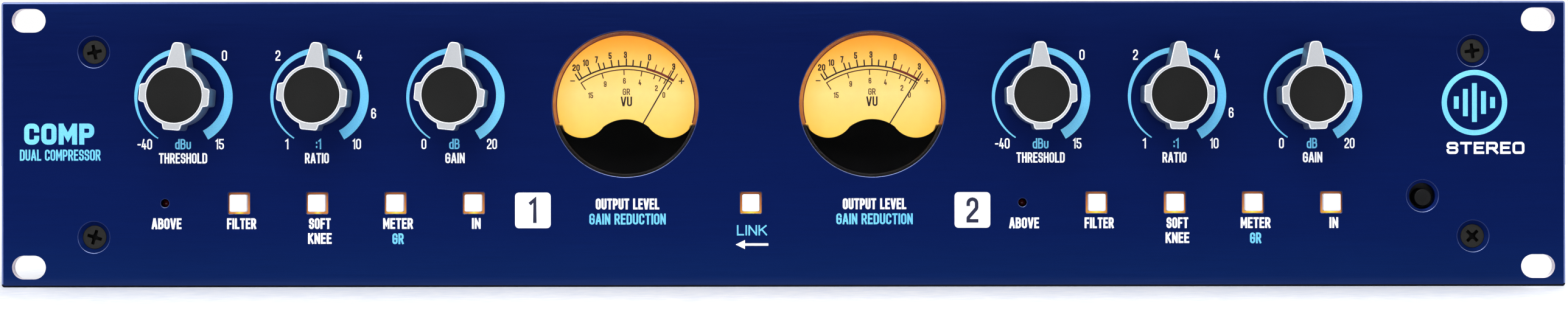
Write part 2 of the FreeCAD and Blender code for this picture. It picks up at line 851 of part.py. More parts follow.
def meter_lens(channel):
    front = "lens_sunk - panel_thickness"
    lens = turned(f"meter_lens_{channel}", [
        (0, front), ("lens_radius - lens_edge_round", front), ("lens_radius", f"{front} + lens_edge_round"),
        ("lens_radius", 0), ("meter_radius", 0), ("meter_radius", "meter_flange"),
        ("lens_bore_radius", "meter_flange"), ("lens_bore_radius", f"{front} + lens_thickness"),
        (0, f"{front} + lens_thickness")])
    place(lens.body, METER_PLACES[channel], 0, "meter_z")


def meter_housing(channel):
    """A cup that closes the meter, with the movement's core standing in it."""
    inner = "meter_radius - meter_wall"
    floor = "meter_depth - meter_back_wall"
    body = turned(f"meter_housing_{channel}", [
        ("meter_radius", "meter_flange"), ("meter_radius", "meter_depth"), (0, "meter_depth"),
        (0, floor), (inner, floor), (inner, "meter_flange")])
    rooted = f"{floor} + meter_back_wall / 2"
    core = body.sketch(XZ, rooted)
    circle(core, 0, "-pivot_drop", "core_radius")
    body.pad(core, f"{rooted} - core_front")
    bearing = body.sketch(XZ, "core_front")
    circle(bearing, 0, "-pivot_drop", "staff_radius + shaft_clearance")
    body.pocket(bearing, "core_bore_end - core_front")
    place(body.body, METER_PLACES[channel], 0, "meter_z")


def meter_dial(channel):
    body = Body(f"meter_dial_{channel}")
    plate = body.sketch(XZ, "dial_front + dial_thickness")
    circle(plate, 0, 0, "dial_radius")
    circle(plate, 0, "-pivot_drop", "dial_staff_hole")
    body.pad(plate, "dial_thickness")
    place(body.body, METER_PLACES[channel], 0, "meter_z")


def meter_mask(channel):
    """The black shroud over the needle's pivot: a disc cut off along a wavy upper edge."""
    body = Body(f"meter_mask_{channel}")
    sketch = body.sketch(XZ, "mask_front + mask_thickness")
    side = ("mask_side_x", "mask_side_z")
    waist = ("mask_bump_x", "mask_bump_side_z")
    arcs = [
        (("-" + side[0], side[1]), ("-mask_dip_x", "mask_dip_z"), ("-" + waist[0], waist[1])),
        (("-" + waist[0], waist[1]), (0, "mask_bump_z"), waist),
        (waist, ("mask_dip_x", "mask_dip_z"), side),
        (side, (0, "-mask_radius"), ("-" + side[0], side[1])),
    ]
    for points in arcs:
        sketch.addGeometry(Part.Arc(*(spot(x, y) for x, y in points)))
    for n, (start, middle, end) in enumerate(arcs):
        following = (n + 1) % len(arcs)
        pin_point(sketch, n, end_at(sketch, n, start), *start)
        sketch.addConstraint(Sketcher.Constraint(
            "Coincident", n, end_at(sketch, n, end), following, end_at(sketch, following, end)))
        through = sketch.addGeometry(Part.Point(spot(*middle)), True)
        pin_point(sketch, through, 1, *middle)
        sketch.addConstraint(Sketcher.Constraint("PointOnObject", through, 1, n))
    body.pad(sketch, "mask_thickness")
    place(body.body, METER_PLACES[channel], 0, "meter_z")


def needle(channel):
    """Pointer, hub and staff, turning about the staff."""
    body = turned(f"needle_{channel}", [
        (0, "staff_front"), ("staff_radius", "staff_front"), ("staff_radius", "hub_front"),
        ("hub_radius", "hub_front"), ("hub_radius", "hub_front + hub_thickness"),
        ("staff_radius", "hub_front + hub_thickness"), ("staff_radius", "staff_end"), (0, "staff_end")])
    strip = body.sketch(XZ, "needle_front + needle_thickness")
    outline(strip, [("-needle_width / 2", "-needle_tail"), ("needle_width / 2", "-needle_tail"),
                    ("needle_width / 2", "needle_length"), ("-needle_width / 2", "needle_length")])
    body.pad(strip, "needle_thickness")
    place(body.body, METER_PLACES[channel], 0, "meter_z - pivot_drop", REST_ANGLES["needle", channel])


# ---------------------------------------------------------------- boards and transformer

def boards():
    back = "control_board_front + board_thickness"
    plate = block("control_board_plate", 0, "control_board_width", "control_board_front", back, 0,
                  "control_board_height")
    holes = [rod(f"control_board_meter_hole_{channel}", x, "meter_z", "control_board_meter_hole",
                 "control_board_front", back) for channel, x in METER_PLACES.items()]
    holes.append(block("control_board_power_hole", POWER_X, "power_switch_cutout", "control_board_front",
                       back, POWER_Z, "power_switch_cutout"))
    named("control_board", cut("control_board", plate, holes))

    middle_x = "(main_board_low_x + main_board_high_x) / 2"
    plate = block("main_board", middle_x, "main_board_high_x - main_board_low_x", "main_board_low_y",
                  "main_board_high_y", "main_board_z + board_thickness / 2", "board_thickness")
    named("main_board", plate)

    floor = "-case_height / 2 + sheet_thickness"
    posts = []
    for x in ("main_board_low_x + standoff_inset", middle_x, "main_board_high_x - standoff_inset"):
        for y in ("main_board_low_y + standoff_inset", "main_board_high_y - standoff_inset"):
            post = cylinder(f"standoff_{len(posts) + 1}", "standoff_radius", f"main_board_z - ({floor})")
            posts.append(place(post, x, y, floor))
    named("board_standoffs", group("board_standoffs", posts))


def board_components():
    """The supply's capacitors, the regulators on their heat sink, and the rows of chips."""
    top = "main_board_z + board_thickness"
    made = []

    def upright(name, x, y, radius, height):
        made.append(place(cylinder(name, radius, height), x, y, top))

    def standing(name, x, y, width, depth, height):
        made.append(block(name, x, width, f"{y} - {depth} / 2", f"{y} + {depth} / 2",
                          f"{top} + {height} / 2", height))
    for n in range(2):
        upright(f"filter_capacitor_{n + 1}", "capacitor_x", f"capacitor_first_y + {n} * capacitor_pitch",
                "capacitor_radius", "capacitor_height")
        standing(f"heat_sink_{n + 1}", "heat_sink_x", f"heat_sink_first_y + {n} * heat_sink_pitch",
                 "heat_sink_width", "heat_sink_depth", "heat_sink_height")
    for channel in CHANNELS:
        for n in range(CHIPS_PER_CHANNEL):
            x = f"chip_first_x + {n} * chip_pitch + {channel - 1} * chip_group_pitch"
            standing(f"chip_{channel}_{n + 1}", x, "chip_y", "chip_width", "chip_depth", "chip_height")
            upright(f"coupling_capacitor_{channel}_{n + 1}", x, "coupling_capacitor_y",
                    "coupling_capacitor_radius", "coupling_capacitor_height")
    named("board_components", group("board_components", made))


def transformer():
    """Laminated core round one winding, standing on the case floor."""
    floor = "-case_height / 2 + sheet_thickness"
    x, y = "transformer_x", "transformer_y"
    middle = f"{floor} + core_height / 2"
    low, high = f"{y} - core_stack / 2", f"{y} + core_stack / 2"
    window = "(core_length - 4 * core_limb) / 2"
    core = block("core_stack_block", x, "core_length", low, high, middle, "core_height")
    windows = [block(f"core_window_{side}", f"{x} + {side} * (core_limb + {window} / 2)", window, low, high,
                     middle, "core_height - 2 * core_limb") for side in (-1, 1)]
    laminations = cut("transformer_core", core, windows)
    reach = "2 * core_limb + 2 * (" + window + " - winding_gap)"
    outer = block("winding_block", x, reach, f"{low} - winding_bulge", f"{high} + winding_bulge", middle,
                  "core_height - 2 * core_limb - 2 * winding_gap")
    limb = block("winding_hole", x, "2 * core_limb + 2 * winding_gap", f"{low} - winding_gap",
                 f"{high} + winding_gap", middle, "core_height")
    named("transformer", group("transformer", [laminations, cut("transformer_winding", outer, [limb])]))


# ---------------------------------------------------------------- case

def chassis_tray():
    """Floor, two sides and two front tabs, folded from one sheet."""
    body = Body("chassis_tray")
    low = "-case_height / 2"
    outer, inner = "case_width / 2", "(case_width / 2 - sheet_thickness)"
    tab, rear = "(case_width / 2 - front_tab_width)", "case_depth - sheet_thickness"
    floor = body.sketch(XY, low)
    rectangle(floor, 0, f"({rear}) / 2", "case_width", rear)
    body.pad(floor, "sheet_thickness")
    walls = body.sketch(XY, low)
    side = [(tab, 0), (outer, 0), (outer, rear), (inner, rear), (inner, "sheet_thickness"),
            (tab, "sheet_thickness")]
    outline(walls, side)
    outline(walls, [(f"-{x}", y) for x, y in side[::-1]])
    body.pad(walls, "case_height - sheet_thickness")

    tab_holes = body.sketch(XZ, "-overlap")
    for across, up in CORNERS:
        circle(tab_holes, f"{across} * panel_screw_x", f"{up} * panel_screw_z",
               "screw_shank_radius + thread_gap")
    body.pocket(tab_holes, "sheet_thickness + 2 * overlap")
    side_holes(body)


def rear_panel():
    """A flat plate across the rear, with a hole for each connector."""
    body = Body("rear_panel")
    plate = body.sketch(XZ, "case_depth")
    rectangle(plate, 0, "-sheet_thickness / 2", "case_width", "case_height - sheet_thickness")
    body.pad(plate, "sheet_thickness")
    holes = body.sketch(XZ, "case_depth - sheet_thickness - overlap")
    for shift in REAR_SHIFTS.values():
        for x in ("audio_input_x", "audio_output_x"):
            centre = f"{x} + {shift}"
            circle(holes, centre, "connector_z", "connector_hole_radius")
            for side in (-1, 1):
                circle(holes, f"{centre} + {side} * connector_screw_x",
                       f"connector_z - {side} * connector_screw_z", "case_screw_hole_radius")
        circle(holes, f"sidechain_x + {shift}", "connector_z", "jack_hole_radius")
    rectangle(holes, "inlet_x", "inlet_z", "inlet_body_width + 2 * inlet_hole_gap",
              "inlet_body_height + 2 * inlet_hole_gap")
    for side in (-1, 1):
        circle(holes, f"inlet_x + {side} * inlet_screw_x", "inlet_z", "case_screw_hole_radius")
    body.pocket(holes, "sheet_thickness + 2 * overlap")


def side_holes(body):
    """The cover screws' holes, through both side walls."""
    reach = "case_width / 2 + overlap"
    sketch = body.sketch("YZ_Plane", reach)
    for n in range(COVER_SCREWS_PER_SIDE):
        circle(sketch, f"cover_screw_first_y + {n} * cover_screw_pitch", "cover_screw_z",
               "case_screw_hole_radius")
    body.pocket(sketch, f"2 * ({reach})")


def top_cover():
    """A flat lid with a lip down inside each side wall and two rows of vents."""
    body = Body("top_cover")
    top = "case_height / 2"
    lid = body.sketch(XY, f"{top} - sheet_thickness")
    rectangle(lid, 0, "case_depth / 2", "case_width", "case_depth")
    body.pad(lid, "sheet_thickness")
    lips = body.sketch(XY, f"{top} - sheet_thickness - cover_lip_height")
    for side in (-1, 1):
        rectangle(lips, f"{side} * (case_width / 2 - 1.5 * sheet_thickness - lip_gap)", "case_depth / 2",
                  "sheet_thickness", "case_depth - 2 * cover_lip_inset")
    body.pad(lips, "cover_lip_height")
    vents = body.sketch(XY, f"{top} + overlap")
    for y in ("vent_front_row_y", "vent_rear_row_y"):
        rectangle(vents, "vent_first_x", f"{y} + vent_length / 2", "vent_width", "vent_length")
    row = body.pocket(vents, "sheet_thickness + 2 * overlap")
    body.pattern("LinearPattern", row, "X_Axis", Length="vent_pitch * (vent_count - 1)",
                 Occurrences="vent_count")
    side_holes(body)


def pan_screw(name, x, y, z, angle, axis):
    """A pan-head screw with a cross recess, its shank pointing along the turned -Z."""
    head = cylinder(name + "_head", "case_screw_head_radius", "case_screw_head_height")
    shank = place(cylinder(name + "_shank", "case_screw_radius", "case_screw_length"), 0, 0,
                  "-case_screw_length")
    span, narrow = "case_screw_recess_span", "case_screw_recess_width"
    bars = []
    for width, depth in ((span, narrow), (narrow, span)):
        bar = doc.addObject("Part::Box", f"{name}_bar_{len(bars)}")
        bind(bar, "Length", width)
        bind(bar, "Width", depth)
        bind(bar, "Height", "case_screw_recess_depth + overlap")
        bars.append(place(bar, f"-{width} / 2", f"-{depth} / 2",
                          "case_screw_head_height - case_screw_recess_depth"))
    screw = cut(name, fuse(name + "_blank", [head, shank]), bars)
    return place(screw, x, y, z, angle, axis)


def case_screws():
    """The same screw holds the cover's sides, the audio connectors and the mains inlet."""
    screws = []
    for side in (-1, 1):
        for n in range(COVER_SCREWS_PER_SIDE):
            screws.append(pan_screw(f"cover_screw_{len(screws) + 1}", f"{side} * case_width / 2",
                                    f"cover_screw_first_y + {n} * cover_screw_pitch", "cover_screw_z",
                                    side * 90, ABOUT_Y))
    towards_rear = FreeCAD.Vector(1, 0, 0)
    flange = "case_depth + connector_flange_thickness"
    for shift in REAR_SHIFTS.values():
        for x in ("audio_input_x", "audio_output_x"):
            for side in (-1, 1):
                screws.append(pan_screw(
                    f"connector_screw_{len(screws) + 1}", f"{x} + {shift} + {side} * connector_screw_x",
                    flange, f"connector_z - {side} * connector_screw_z", -90, towards_rear))
    for side in (-1, 1):
        screws.append(pan_screw(f"inlet_screw_{side + 2}", f"inlet_x + {side} * inlet_screw_x",
                                "case_depth + inlet_flange_thickness", "inlet_z", -90, towards_rear))
    named("case_screws", group("case_screws", screws))


# ---------------------------------------------------------------- rear connectors

def flange(name, x, depth_out):
    """The plate of an audio connector, with its two screw holes."""
    plate = block(name + "_plate", x, "connector_flange_width", "case_depth", depth_out, "connector_z",
                  "connector_flange_height")
    holes = [rod(f"{name}_hole_{side + 2}", f"{x} + {side} * connector_screw_x",
                 f"connector_z - {side} * connector_screw_z", "case_screw_hole_radius", "case_depth",
                 depth_out) for side in (-1, 1)]
    return cut(name, plate, holes)


def audio_inputs():
    """Sockets: a rim, a ring-shaped groove round the core, and three contact holes in the core."""
    made = []
    for channel, shift in REAR_SHIFTS.items():
        x = f"audio_input_x + {shift}"
        key = f"input_{channel}"
        plate_y = "case_depth + connector_flange_thickness"
        mouth = f"({plate_y} + socket_rim_proud)"
        deep = f"{mouth} - socket_groove_depth"
        blank = fuse(key + "_blank", [
            flange(key + "_flange", x, plate_y),
            rod(key + "_body", x, "connector_z", "connector_body_radius",
                "case_depth - connector_body_depth", "case_depth"),
            rod(key + "_rim", x, "connector_z", "socket_rim_radius", "case_depth", mouth)])
        groove = cut(key + "_groove", rod(key + "_groove_disc", x, "connector_z", "socket_groove_radius",
                                          deep, mouth),
                     [rod(key + "_core", x, "connector_z", "socket_core_radius", deep, mouth)])
        contacts = [rod(f"{key}_contact_{n + 1}", f"{x} + {across} * contact_circle",
                        f"connector_z + contact_z_shift + {up} * contact_circle", "contact_hole_radius",
                        deep, mouth) for n, (across, up) in enumerate(((-1, 0), (1, 0), (0, -1)))]
        latch_hole = block(key + "_latch_hole", x, "latch_width + 2 * latch_slot_gap",
                           f"{plate_y} - latch_depth", plate_y, "latch_z",
                           "latch_height + 2 * latch_slot_gap")
        made.append(cut(key, blank, [groove, *contacts, latch_hole]))
        latch = block(f"{key}_latch_tab", x, "latch_width", plate_y, f"{plate_y} + latch_proud",
                      "latch_z", "latch_height")
        named(f"input_latch_{channel}", latch)
    named("audio_inputs", group("audio_inputs", made))


def audio_outputs():
    """Plugs: a round cup with three pins standing in it."""
    made = []
    for channel, shift in REAR_SHIFTS.items():
        x = f"audio_output_x + {shift}"
        key = f"output_{channel}"
        plate_y = "case_depth + connector_flange_thickness"
        deep = f"({plate_y} - plug_cup_depth)"
        blank = fuse(key + "_blank", [
            flange(key + "_flange", x, plate_y),
            rod(key + "_body", x, "connector_z", "connector_body_radius",
                "case_depth - connector_body_depth", "case_depth")])
        shell = cut(key + "_shell", blank,
                    [rod(key + "_cup", x, "connector_z", "plug_cup_radius", deep, plate_y)])
        pins = [rod(f"{key}_pin_{n + 1}", f"{x} + {across} * contact_circle",
                    f"connector_z + plug_pin_row_z + {up} * contact_circle", "plug_pin_radius",
                    f"{deep} - overlap", f"{deep} + plug_pin_length")
                for n, (across, up) in enumerate(((-1, 0), (1, 0), (0, -1)))]
        made.append(fuse(key, [shell, *pins]))
    named("audio_outputs", group("audio_outputs", made))


def sidechain_jacks():
    """Phone jacks, each a body behind the wall, a threaded nose through it, and a nut."""
    made = []
    for channel, shift in REAR_SHIFTS.items():
        x = f"sidechain_x + {shift}"
        key = f"sidechain_jack_{channel}"
        mouth = "case_depth + jack_proud"
        inner_wall = "case_depth - sheet_thickness"
        blank = fuse(key + "_blank", [
            block(key + "_case", x, "jack_body_side", f"{inner_wall} - jack_body_depth", inner_wall,
                  "connector_z", "jack_body_side"),
            rod(key + "_nose", x, "connector_z", "jack_thread_radius", f"{inner_wall} - overlap",
                mouth)])
        made.append(cut(key, blank, [rod(key + "_bore", x, "connector_z", "jack_bore_radius",
                                         f"{mouth} - jack_bore_depth", mouth)]))
        made.append(hex_nut(key + "_nut", x, "connector_z", "jack_nut_flats",
                            "jack_thread_radius + thread_gap", "case_depth",
                            "case_depth + jack_nut_thickness"))
    named("sidechain_jacks", group("sidechain_jacks", made))


def power_inlet():
    """Mains inlet with three blades in its recess, over a fuse drawer."""
    outer = "case_depth + inlet_flange_thickness"
    inner_end = "case_depth - inlet_body_depth"
    recess_z = "inlet_z + inlet_recess_z"
    deep = f"({outer} - inlet_recess_depth)"
    drawer_z = "inlet_z + drawer_z"
    blank = fuse("inlet_blank", [
        block("inlet_flange", "inlet_x", "inlet_flange_width", "case_depth", outer, "inlet_z",
              "inlet_flange_height"),
        block("inlet_body", "inlet_x", "inlet_body_width", inner_end, "case_depth", "inlet_z",
              "inlet_body_height")])
    hollows = [
        block("inlet_recess", "inlet_x", "inlet_recess_width", deep, outer, recess_z, "inlet_recess_height"),
        block("inlet_drawer_hole", "inlet_x", "drawer_width + 2 * drawer_gap",
              f"{outer} - drawer_depth - drawer_gap", outer, drawer_z, "drawer_height + 2 * drawer_gap")]
    hollows += [rod(f"inlet_screw_hole_{side + 2}", f"inlet_x + {side} * inlet_screw_x", "inlet_z",
                    "case_screw_hole_radius", "case_depth", outer) for side in (-1, 1)]
    blades = [block(f"inlet_blade_{n + 1}", f"inlet_x + {across} * blade_spread", "blade_width",
                    f"{deep} - overlap", f"{deep} + blade_length", f"{recess_z} + {up} * blade_offset",
                    "blade_height") for n, (across, up) in enumerate(((-1, -1), (1, -1), (0, 1)))]
    named("power_inlet", fuse("power_inlet", [cut("inlet_shell", blank, hollows), *blades]))

    face = block("drawer_face", "inlet_x", "drawer_width + 2 * drawer_face_margin", outer,
                 f"{outer} + drawer_face_thickness", drawer_z, "drawer_height + 2 * drawer_face_margin")
    tray = block("drawer_tray", "inlet_x", "drawer_width", f"{outer} - drawer_depth", outer, drawer_z,
                 "drawer_height")
    bed_low = f"{outer} - drawer_depth + drawer_end_wall"
    bed = block("drawer_bed", "inlet_x", "2 * (fuse_radius + fuse_gap)", bed_low,
                f"{bed_low} + fuse_length + 2 * fuse_gap", f"{drawer_z} + drawer_height / 4",
                "drawer_height")
    named("fuse_drawer", cut("fuse_drawer", fuse("drawer_blank", [face, tray]), [bed]))
    fuse_low = f"{bed_low} + fuse_gap"
    named("fuse", rod("fuse_tube", "inlet_x", f"{drawer_z} - drawer_height / 4 + fuse_radius",
                      "fuse_radius", fuse_low, f"{fuse_low} + fuse_length"))


# ---------------------------------------------------------------- the whole

front_panel()
panel_screws()
knobs()
pots()
for button_label, button_x in BUTTON_PLACES.items():
    button(button_label, button_x)
switches()
lamps()
for meter in CHANNELS:
    meter_lens(meter)
    meter_housing(meter)
    meter_dial(meter)
    meter_mask(meter)
    needle(meter)
boards()
board_components()
transformer()
chassis_tray()
rear_panel()
top_cover()
case_screws()
audio_inputs()
audio_outputs()
sidechain_jacks()
power_inlet()
doc.recompute()

for item in doc.Objects:
    if {"Invalid", "Error"} & set(item.State):
        raise ValueError(f"{item.Name} failed: {item.State}")
for part_label, part in subparts.items():
    if part.Shape.isNull() or not part.Shape.isValid():
        raise ValueError(f"{part_label} has no valid shape")

os.makedirs("parts", exist_ok=True)
for part_label, part in subparts.items():
    part.Shape.exportStep(f"parts/{part_label}.step")
    print(f"{part_label}: {len(part.Shape.Solids)} solid(s), {part.Shape.Volume:.1f} mm3")
print(len(subparts), "nodes")
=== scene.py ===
import math

import bmesh
import bpy
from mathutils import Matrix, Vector


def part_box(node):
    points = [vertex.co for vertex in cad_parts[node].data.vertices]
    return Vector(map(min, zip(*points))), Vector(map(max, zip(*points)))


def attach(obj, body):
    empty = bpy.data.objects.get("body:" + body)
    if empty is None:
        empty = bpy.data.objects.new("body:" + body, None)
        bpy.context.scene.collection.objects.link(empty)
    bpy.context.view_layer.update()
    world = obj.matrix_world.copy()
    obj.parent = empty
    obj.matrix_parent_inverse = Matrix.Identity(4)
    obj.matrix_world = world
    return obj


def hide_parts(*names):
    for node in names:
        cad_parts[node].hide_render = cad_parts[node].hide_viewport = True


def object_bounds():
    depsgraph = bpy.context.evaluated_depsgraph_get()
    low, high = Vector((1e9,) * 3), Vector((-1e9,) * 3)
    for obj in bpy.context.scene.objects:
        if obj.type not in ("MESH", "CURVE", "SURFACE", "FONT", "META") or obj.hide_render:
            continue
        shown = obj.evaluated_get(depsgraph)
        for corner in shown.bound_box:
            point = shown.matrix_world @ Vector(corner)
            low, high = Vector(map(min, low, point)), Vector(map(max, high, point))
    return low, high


# The looks of a two-channel rack compressor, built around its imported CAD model.
# Shapes are written in millimetres in the CAD's frame: +X right, +Y to the rear, +Z up.

MM = 0.001
CHANNELS = (1, 2)
SIDES = (-1, 1)
KNOBS = ("threshold", "ratio", "gain")
BUTTONS = ("filter", "knee", "meter", "in")

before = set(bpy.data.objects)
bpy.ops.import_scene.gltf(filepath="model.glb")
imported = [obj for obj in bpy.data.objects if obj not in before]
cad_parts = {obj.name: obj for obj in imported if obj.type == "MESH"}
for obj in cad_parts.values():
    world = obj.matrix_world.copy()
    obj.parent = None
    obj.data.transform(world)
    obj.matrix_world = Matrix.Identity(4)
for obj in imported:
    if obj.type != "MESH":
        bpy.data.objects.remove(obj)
cad_low, cad_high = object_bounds()


def centre(node):
    """The middle of a CAD node's box."""
    low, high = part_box(node)
    return (low + high) / 2 / MM


def front_of(node):
    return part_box(node)[0].y / MM


FRONT = front_of("front_panel")
PITCH = centre("threshold_shaft_2").x - centre("threshold_shaft_1").x
INK, SUNK = 0.025, 0.01       # how far the print stands off its surface, and how far it goes in


# ---------------------------------------------------------------- outlines, as (x, z) points

def arc(x, z, radius, start, end, steps):
    """Points on an arc, its angles in degrees clockwise from the top."""
    turns = [math.radians(start + (end - start) * n / steps) for n in range(steps + 1)]
    return [(x + radius * math.sin(a), z + radius * math.cos(a)) for a in turns]


def circle(x, z, radius, steps=64):
    return arc(x, z, radius, 0, -360, steps)[:-1]


def turned(x, z, profile, steps=64):
    """Rings of a round piece about a line along Y, its profile given as (radius, y) pairs."""
    return [(circle(x, z, radius, steps), y) for radius, y in profile]


def rounded(corners, closed=True, steps=5):
    """A path with its corners rounded, each corner given as (x, z) or (x, z, radius)."""
    path, count = [], len(corners)
    for n, corner in enumerate(corners):
        here = Vector(corner[:2])
        radius = corner[2] if len(corner) > 2 else 0
        if not radius or not (closed or 0 < n < count - 1):
            path.append(tuple(here))
            continue
        back = (Vector(corners[n - 1][:2]) - here).normalized()
        ahead = (Vector(corners[(n + 1) % count][:2]) - here).normalized()
        half = back.angle(ahead) / 2
        if half > math.radians(88):
            path.append(tuple(here))
            continue
        free = [0.999 if not closed and other in (0, count - 1) else 0.499 for other in (n - 1, n + 1)]
        reach = min(radius / math.tan(half), free[0] * (Vector(corners[n - 1][:2]) - here).length,
                    free[1] * (Vector(corners[(n + 1) % count][:2]) - here).length)
        radius = reach * math.tan(half)
        middle = here + (back + ahead).normalized() * radius / math.sin(half)
        start = here + back * reach - middle
        sweep = start.angle_signed(here + ahead * reach - middle)
        for k in range(steps + 1):
            turn = -sweep * k / steps
            spun = Vector((start.x * math.cos(turn) - start.y * math.sin(turn),
                           start.x * math.sin(turn) + start.y * math.cos(turn)))
            path.append(tuple(middle + spun))
    return path


def box_outline(x, z, width, height, corner, steps=5):
    right, up = width / 2, height / 2
    return rounded([(x - right, z - up, corner), (x + right, z - up, corner),
                    (x + right, z + up, corner), (x - right, z + up, corner)], steps=steps)


def grown(path, distance):
    """A closed counter-clockwise outline moved outwards."""
    moved = []
    for n, point in enumerate(path):
        here = Vector(point)
        along = here - Vector(path[n - 1])
        onward = Vector(path[(n + 1) % len(path)]) - here
        first = Vector((along.y, -along.x)).normalized()
        second = Vector((onward.y, -onward.x)).normalized()
        normal = (first + second).normalized()
        moved.append(tuple(here + normal * distance / max(0.4, normal.dot(second))))
    return moved


def fillet(radius, steps=5):
    """(inset, depth) pairs of a rounded edge, from the flat face to the straight side."""
    turns = [math.pi / 2 * n / steps for n in range(steps + 1)]
    return [(radius * (1 - math.sin(a)), radius * (1 - math.cos(a))) for a in turns]


# ---------------------------------------------------------------- meshes

SHARP_ANGLE = 40       # edges sharper than this stay crisp when a piece is shaded
MERGE_DISTANCE = 1e-7


class Shape:
    """A mesh in the making, in millimetres."""

    def __init__(self):
        self.points, self.faces, self.paints = [], [], []

    def ring(self, path, y):
        start = len(self.points)
        self.points += [(x, y, z) for x, z in path]
        return list(range(start, len(self.points)))

    def face(self, corners, paint=0):
        self.faces.append(corners)
        self.paints.append(paint)

    def join(self, first, second, paint=0, closed=True):
        """Quads between two rings of the same length."""
        count = len(first)
        for n in range(count if closed else count - 1):
            following = (n + 1) % count
            self.face([first[n], first[following], second[following], second[n]], paint)

    def loft(self, rings, paint=0, paints=None):
        made = [self.ring(path, y) for path, y in rings]
        for n in range(len(made) - 1):
            self.join(made[n], made[n + 1], paints[n] if paints else paint)
        return made

    def solid(self, rings):
        """A closed loft through rings given as (path, y), capped at both ends."""
        made = self.loft(rings)
        self.face(made[0][::-1])
        self.face(made[-1])

    def sheet(self, loops, paint=0):
        """A flat face bounded by loops, the first its rim and the rest holes in it."""
        flat = bmesh.new()
        lookup = {}
        for loop in loops:
            made = [flat.verts.new(self.points[i]) for i in loop]
            lookup.update(zip(made, loop))
            for n, vertex in enumerate(made):
                flat.edges.new((made[n - 1], vertex))
        bmesh.ops.triangle_fill(flat, use_beauty=True, edges=flat.edges[:])
        for triangle in flat.faces:
            self.face([lookup[v] for v in triangle.verts], paint)
        flat.free()

    def strip(self, left, right, y=FRONT - INK, back=FRONT + SUNK, closed=False):
        """A thin raised band between two lines of points, on the panel unless told otherwise."""
        fronts = [self.ring(left, y), self.ring(right, y)]
        backs = [self.ring(left, back), self.ring(right, back)]
        for first, second in ((fronts[0], fronts[1]), (backs[1], backs[0]), (backs[0], fronts[0]),
                              (fronts[1], backs[1])):
            self.join(first, second, closed=closed)
        if not closed:
            for end in (0, -1):
                self.face([fronts[0][end], fronts[1][end], backs[1][end], backs[0][end]])

    def stroke(self, path, width, y=FRONT - INK, back=FRONT + SUNK, closed=False, square=True):
        """A line of even width, its ends carried on by half the width."""
        points = [Vector(p) for p in path]
        if square and not closed:
            points[0] = points[0] + (points[0] - points[1]).normalized() * width / 2
            points[-1] = points[-1] + (points[-1] - points[-2]).normalized() * width / 2
        left, right = [], []
        for n, here in enumerate(points):
            before = points[n - 1] if closed or n else None
            after = points[(n + 1) % len(points)] if closed or n < len(points) - 1 else None
            ways = [(here - before).normalized()] if before is not None else []
            if after is not None:
                ways.append((after - here).normalized())
            along = sum(ways, Vector((0, 0))).normalized()
            side = Vector((-along.y, along.x))
            reach = width / 2 / max(0.5, side.dot(Vector((-ways[0].y, ways[0].x))))
            left.append(tuple(here + side * reach))
            right.append(tuple(here - side * reach))
        self.strip(left, right, y, back, closed)

    def make(self, name, body, materials, slot=None, replaces=()):
        """The finished piece, riding on its body."""
        mesh = bpy.data.meshes.new(name)
        mesh.from_pydata([Vector(p) * MM for p in self.points], [], self.faces)
        for one in materials:
            mesh.materials.append(one)
        mesh.polygons.foreach_set("material_index", self.paints)
        piece = bpy.data.objects.new(name, mesh)
        bpy.context.scene.collection.objects.link(piece)
        tidy = bmesh.new()
        tidy.from_mesh(mesh)
        bmesh.ops.remove_doubles(tidy, verts=tidy.verts, dist=MERGE_DISTANCE)
        bmesh.ops.recalc_face_normals(tidy, faces=tidy.faces)
        tidy.to_mesh(mesh)
        tidy.free()
        smooth(piece)
        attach(piece, body)
        if replaces:
            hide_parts(*replaces)
        return piece


def smooth(piece):
    mesh = piece.data
    mesh.polygons.foreach_set("use_smooth", [True] * len(mesh.polygons))
    mesh.set_sharp_from_angle(angle=math.radians(SHARP_ANGLE))
    weighted = piece.modifiers.new("even_shading", "WEIGHTED_NORMAL")
    weighted.keep_sharp = True


def soften(node, width, materials):
    """Round a CAD node's edges a little and give it its finish."""
    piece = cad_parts[node]
    weld = piece.modifiers.new("weld", "WELD")
    weld.merge_threshold = 1e-6
    if width:
        bevel = piece.modifiers.new("edges", "BEVEL")
        bevel.width = width * MM
        bevel.segments = 2
        bevel.limit_method = "ANGLE"
        bevel.angle_limit = math.radians(50)
        bevel.harden_normals = True
    piece.data.materials.clear()
    piece.data.materials.append(materials)


# ---------------------------------------------------------------- materials

def linear(red, green, blue):
    """A colour given in 0-255 screen values."""
    parts = [c / 255 for c in (red, green, blue)]
    return tuple(c / 12.92 if c <= 0.04045 else ((c + 0.055) / 1.055) ** 2.4 for c in parts) + (1.0,)


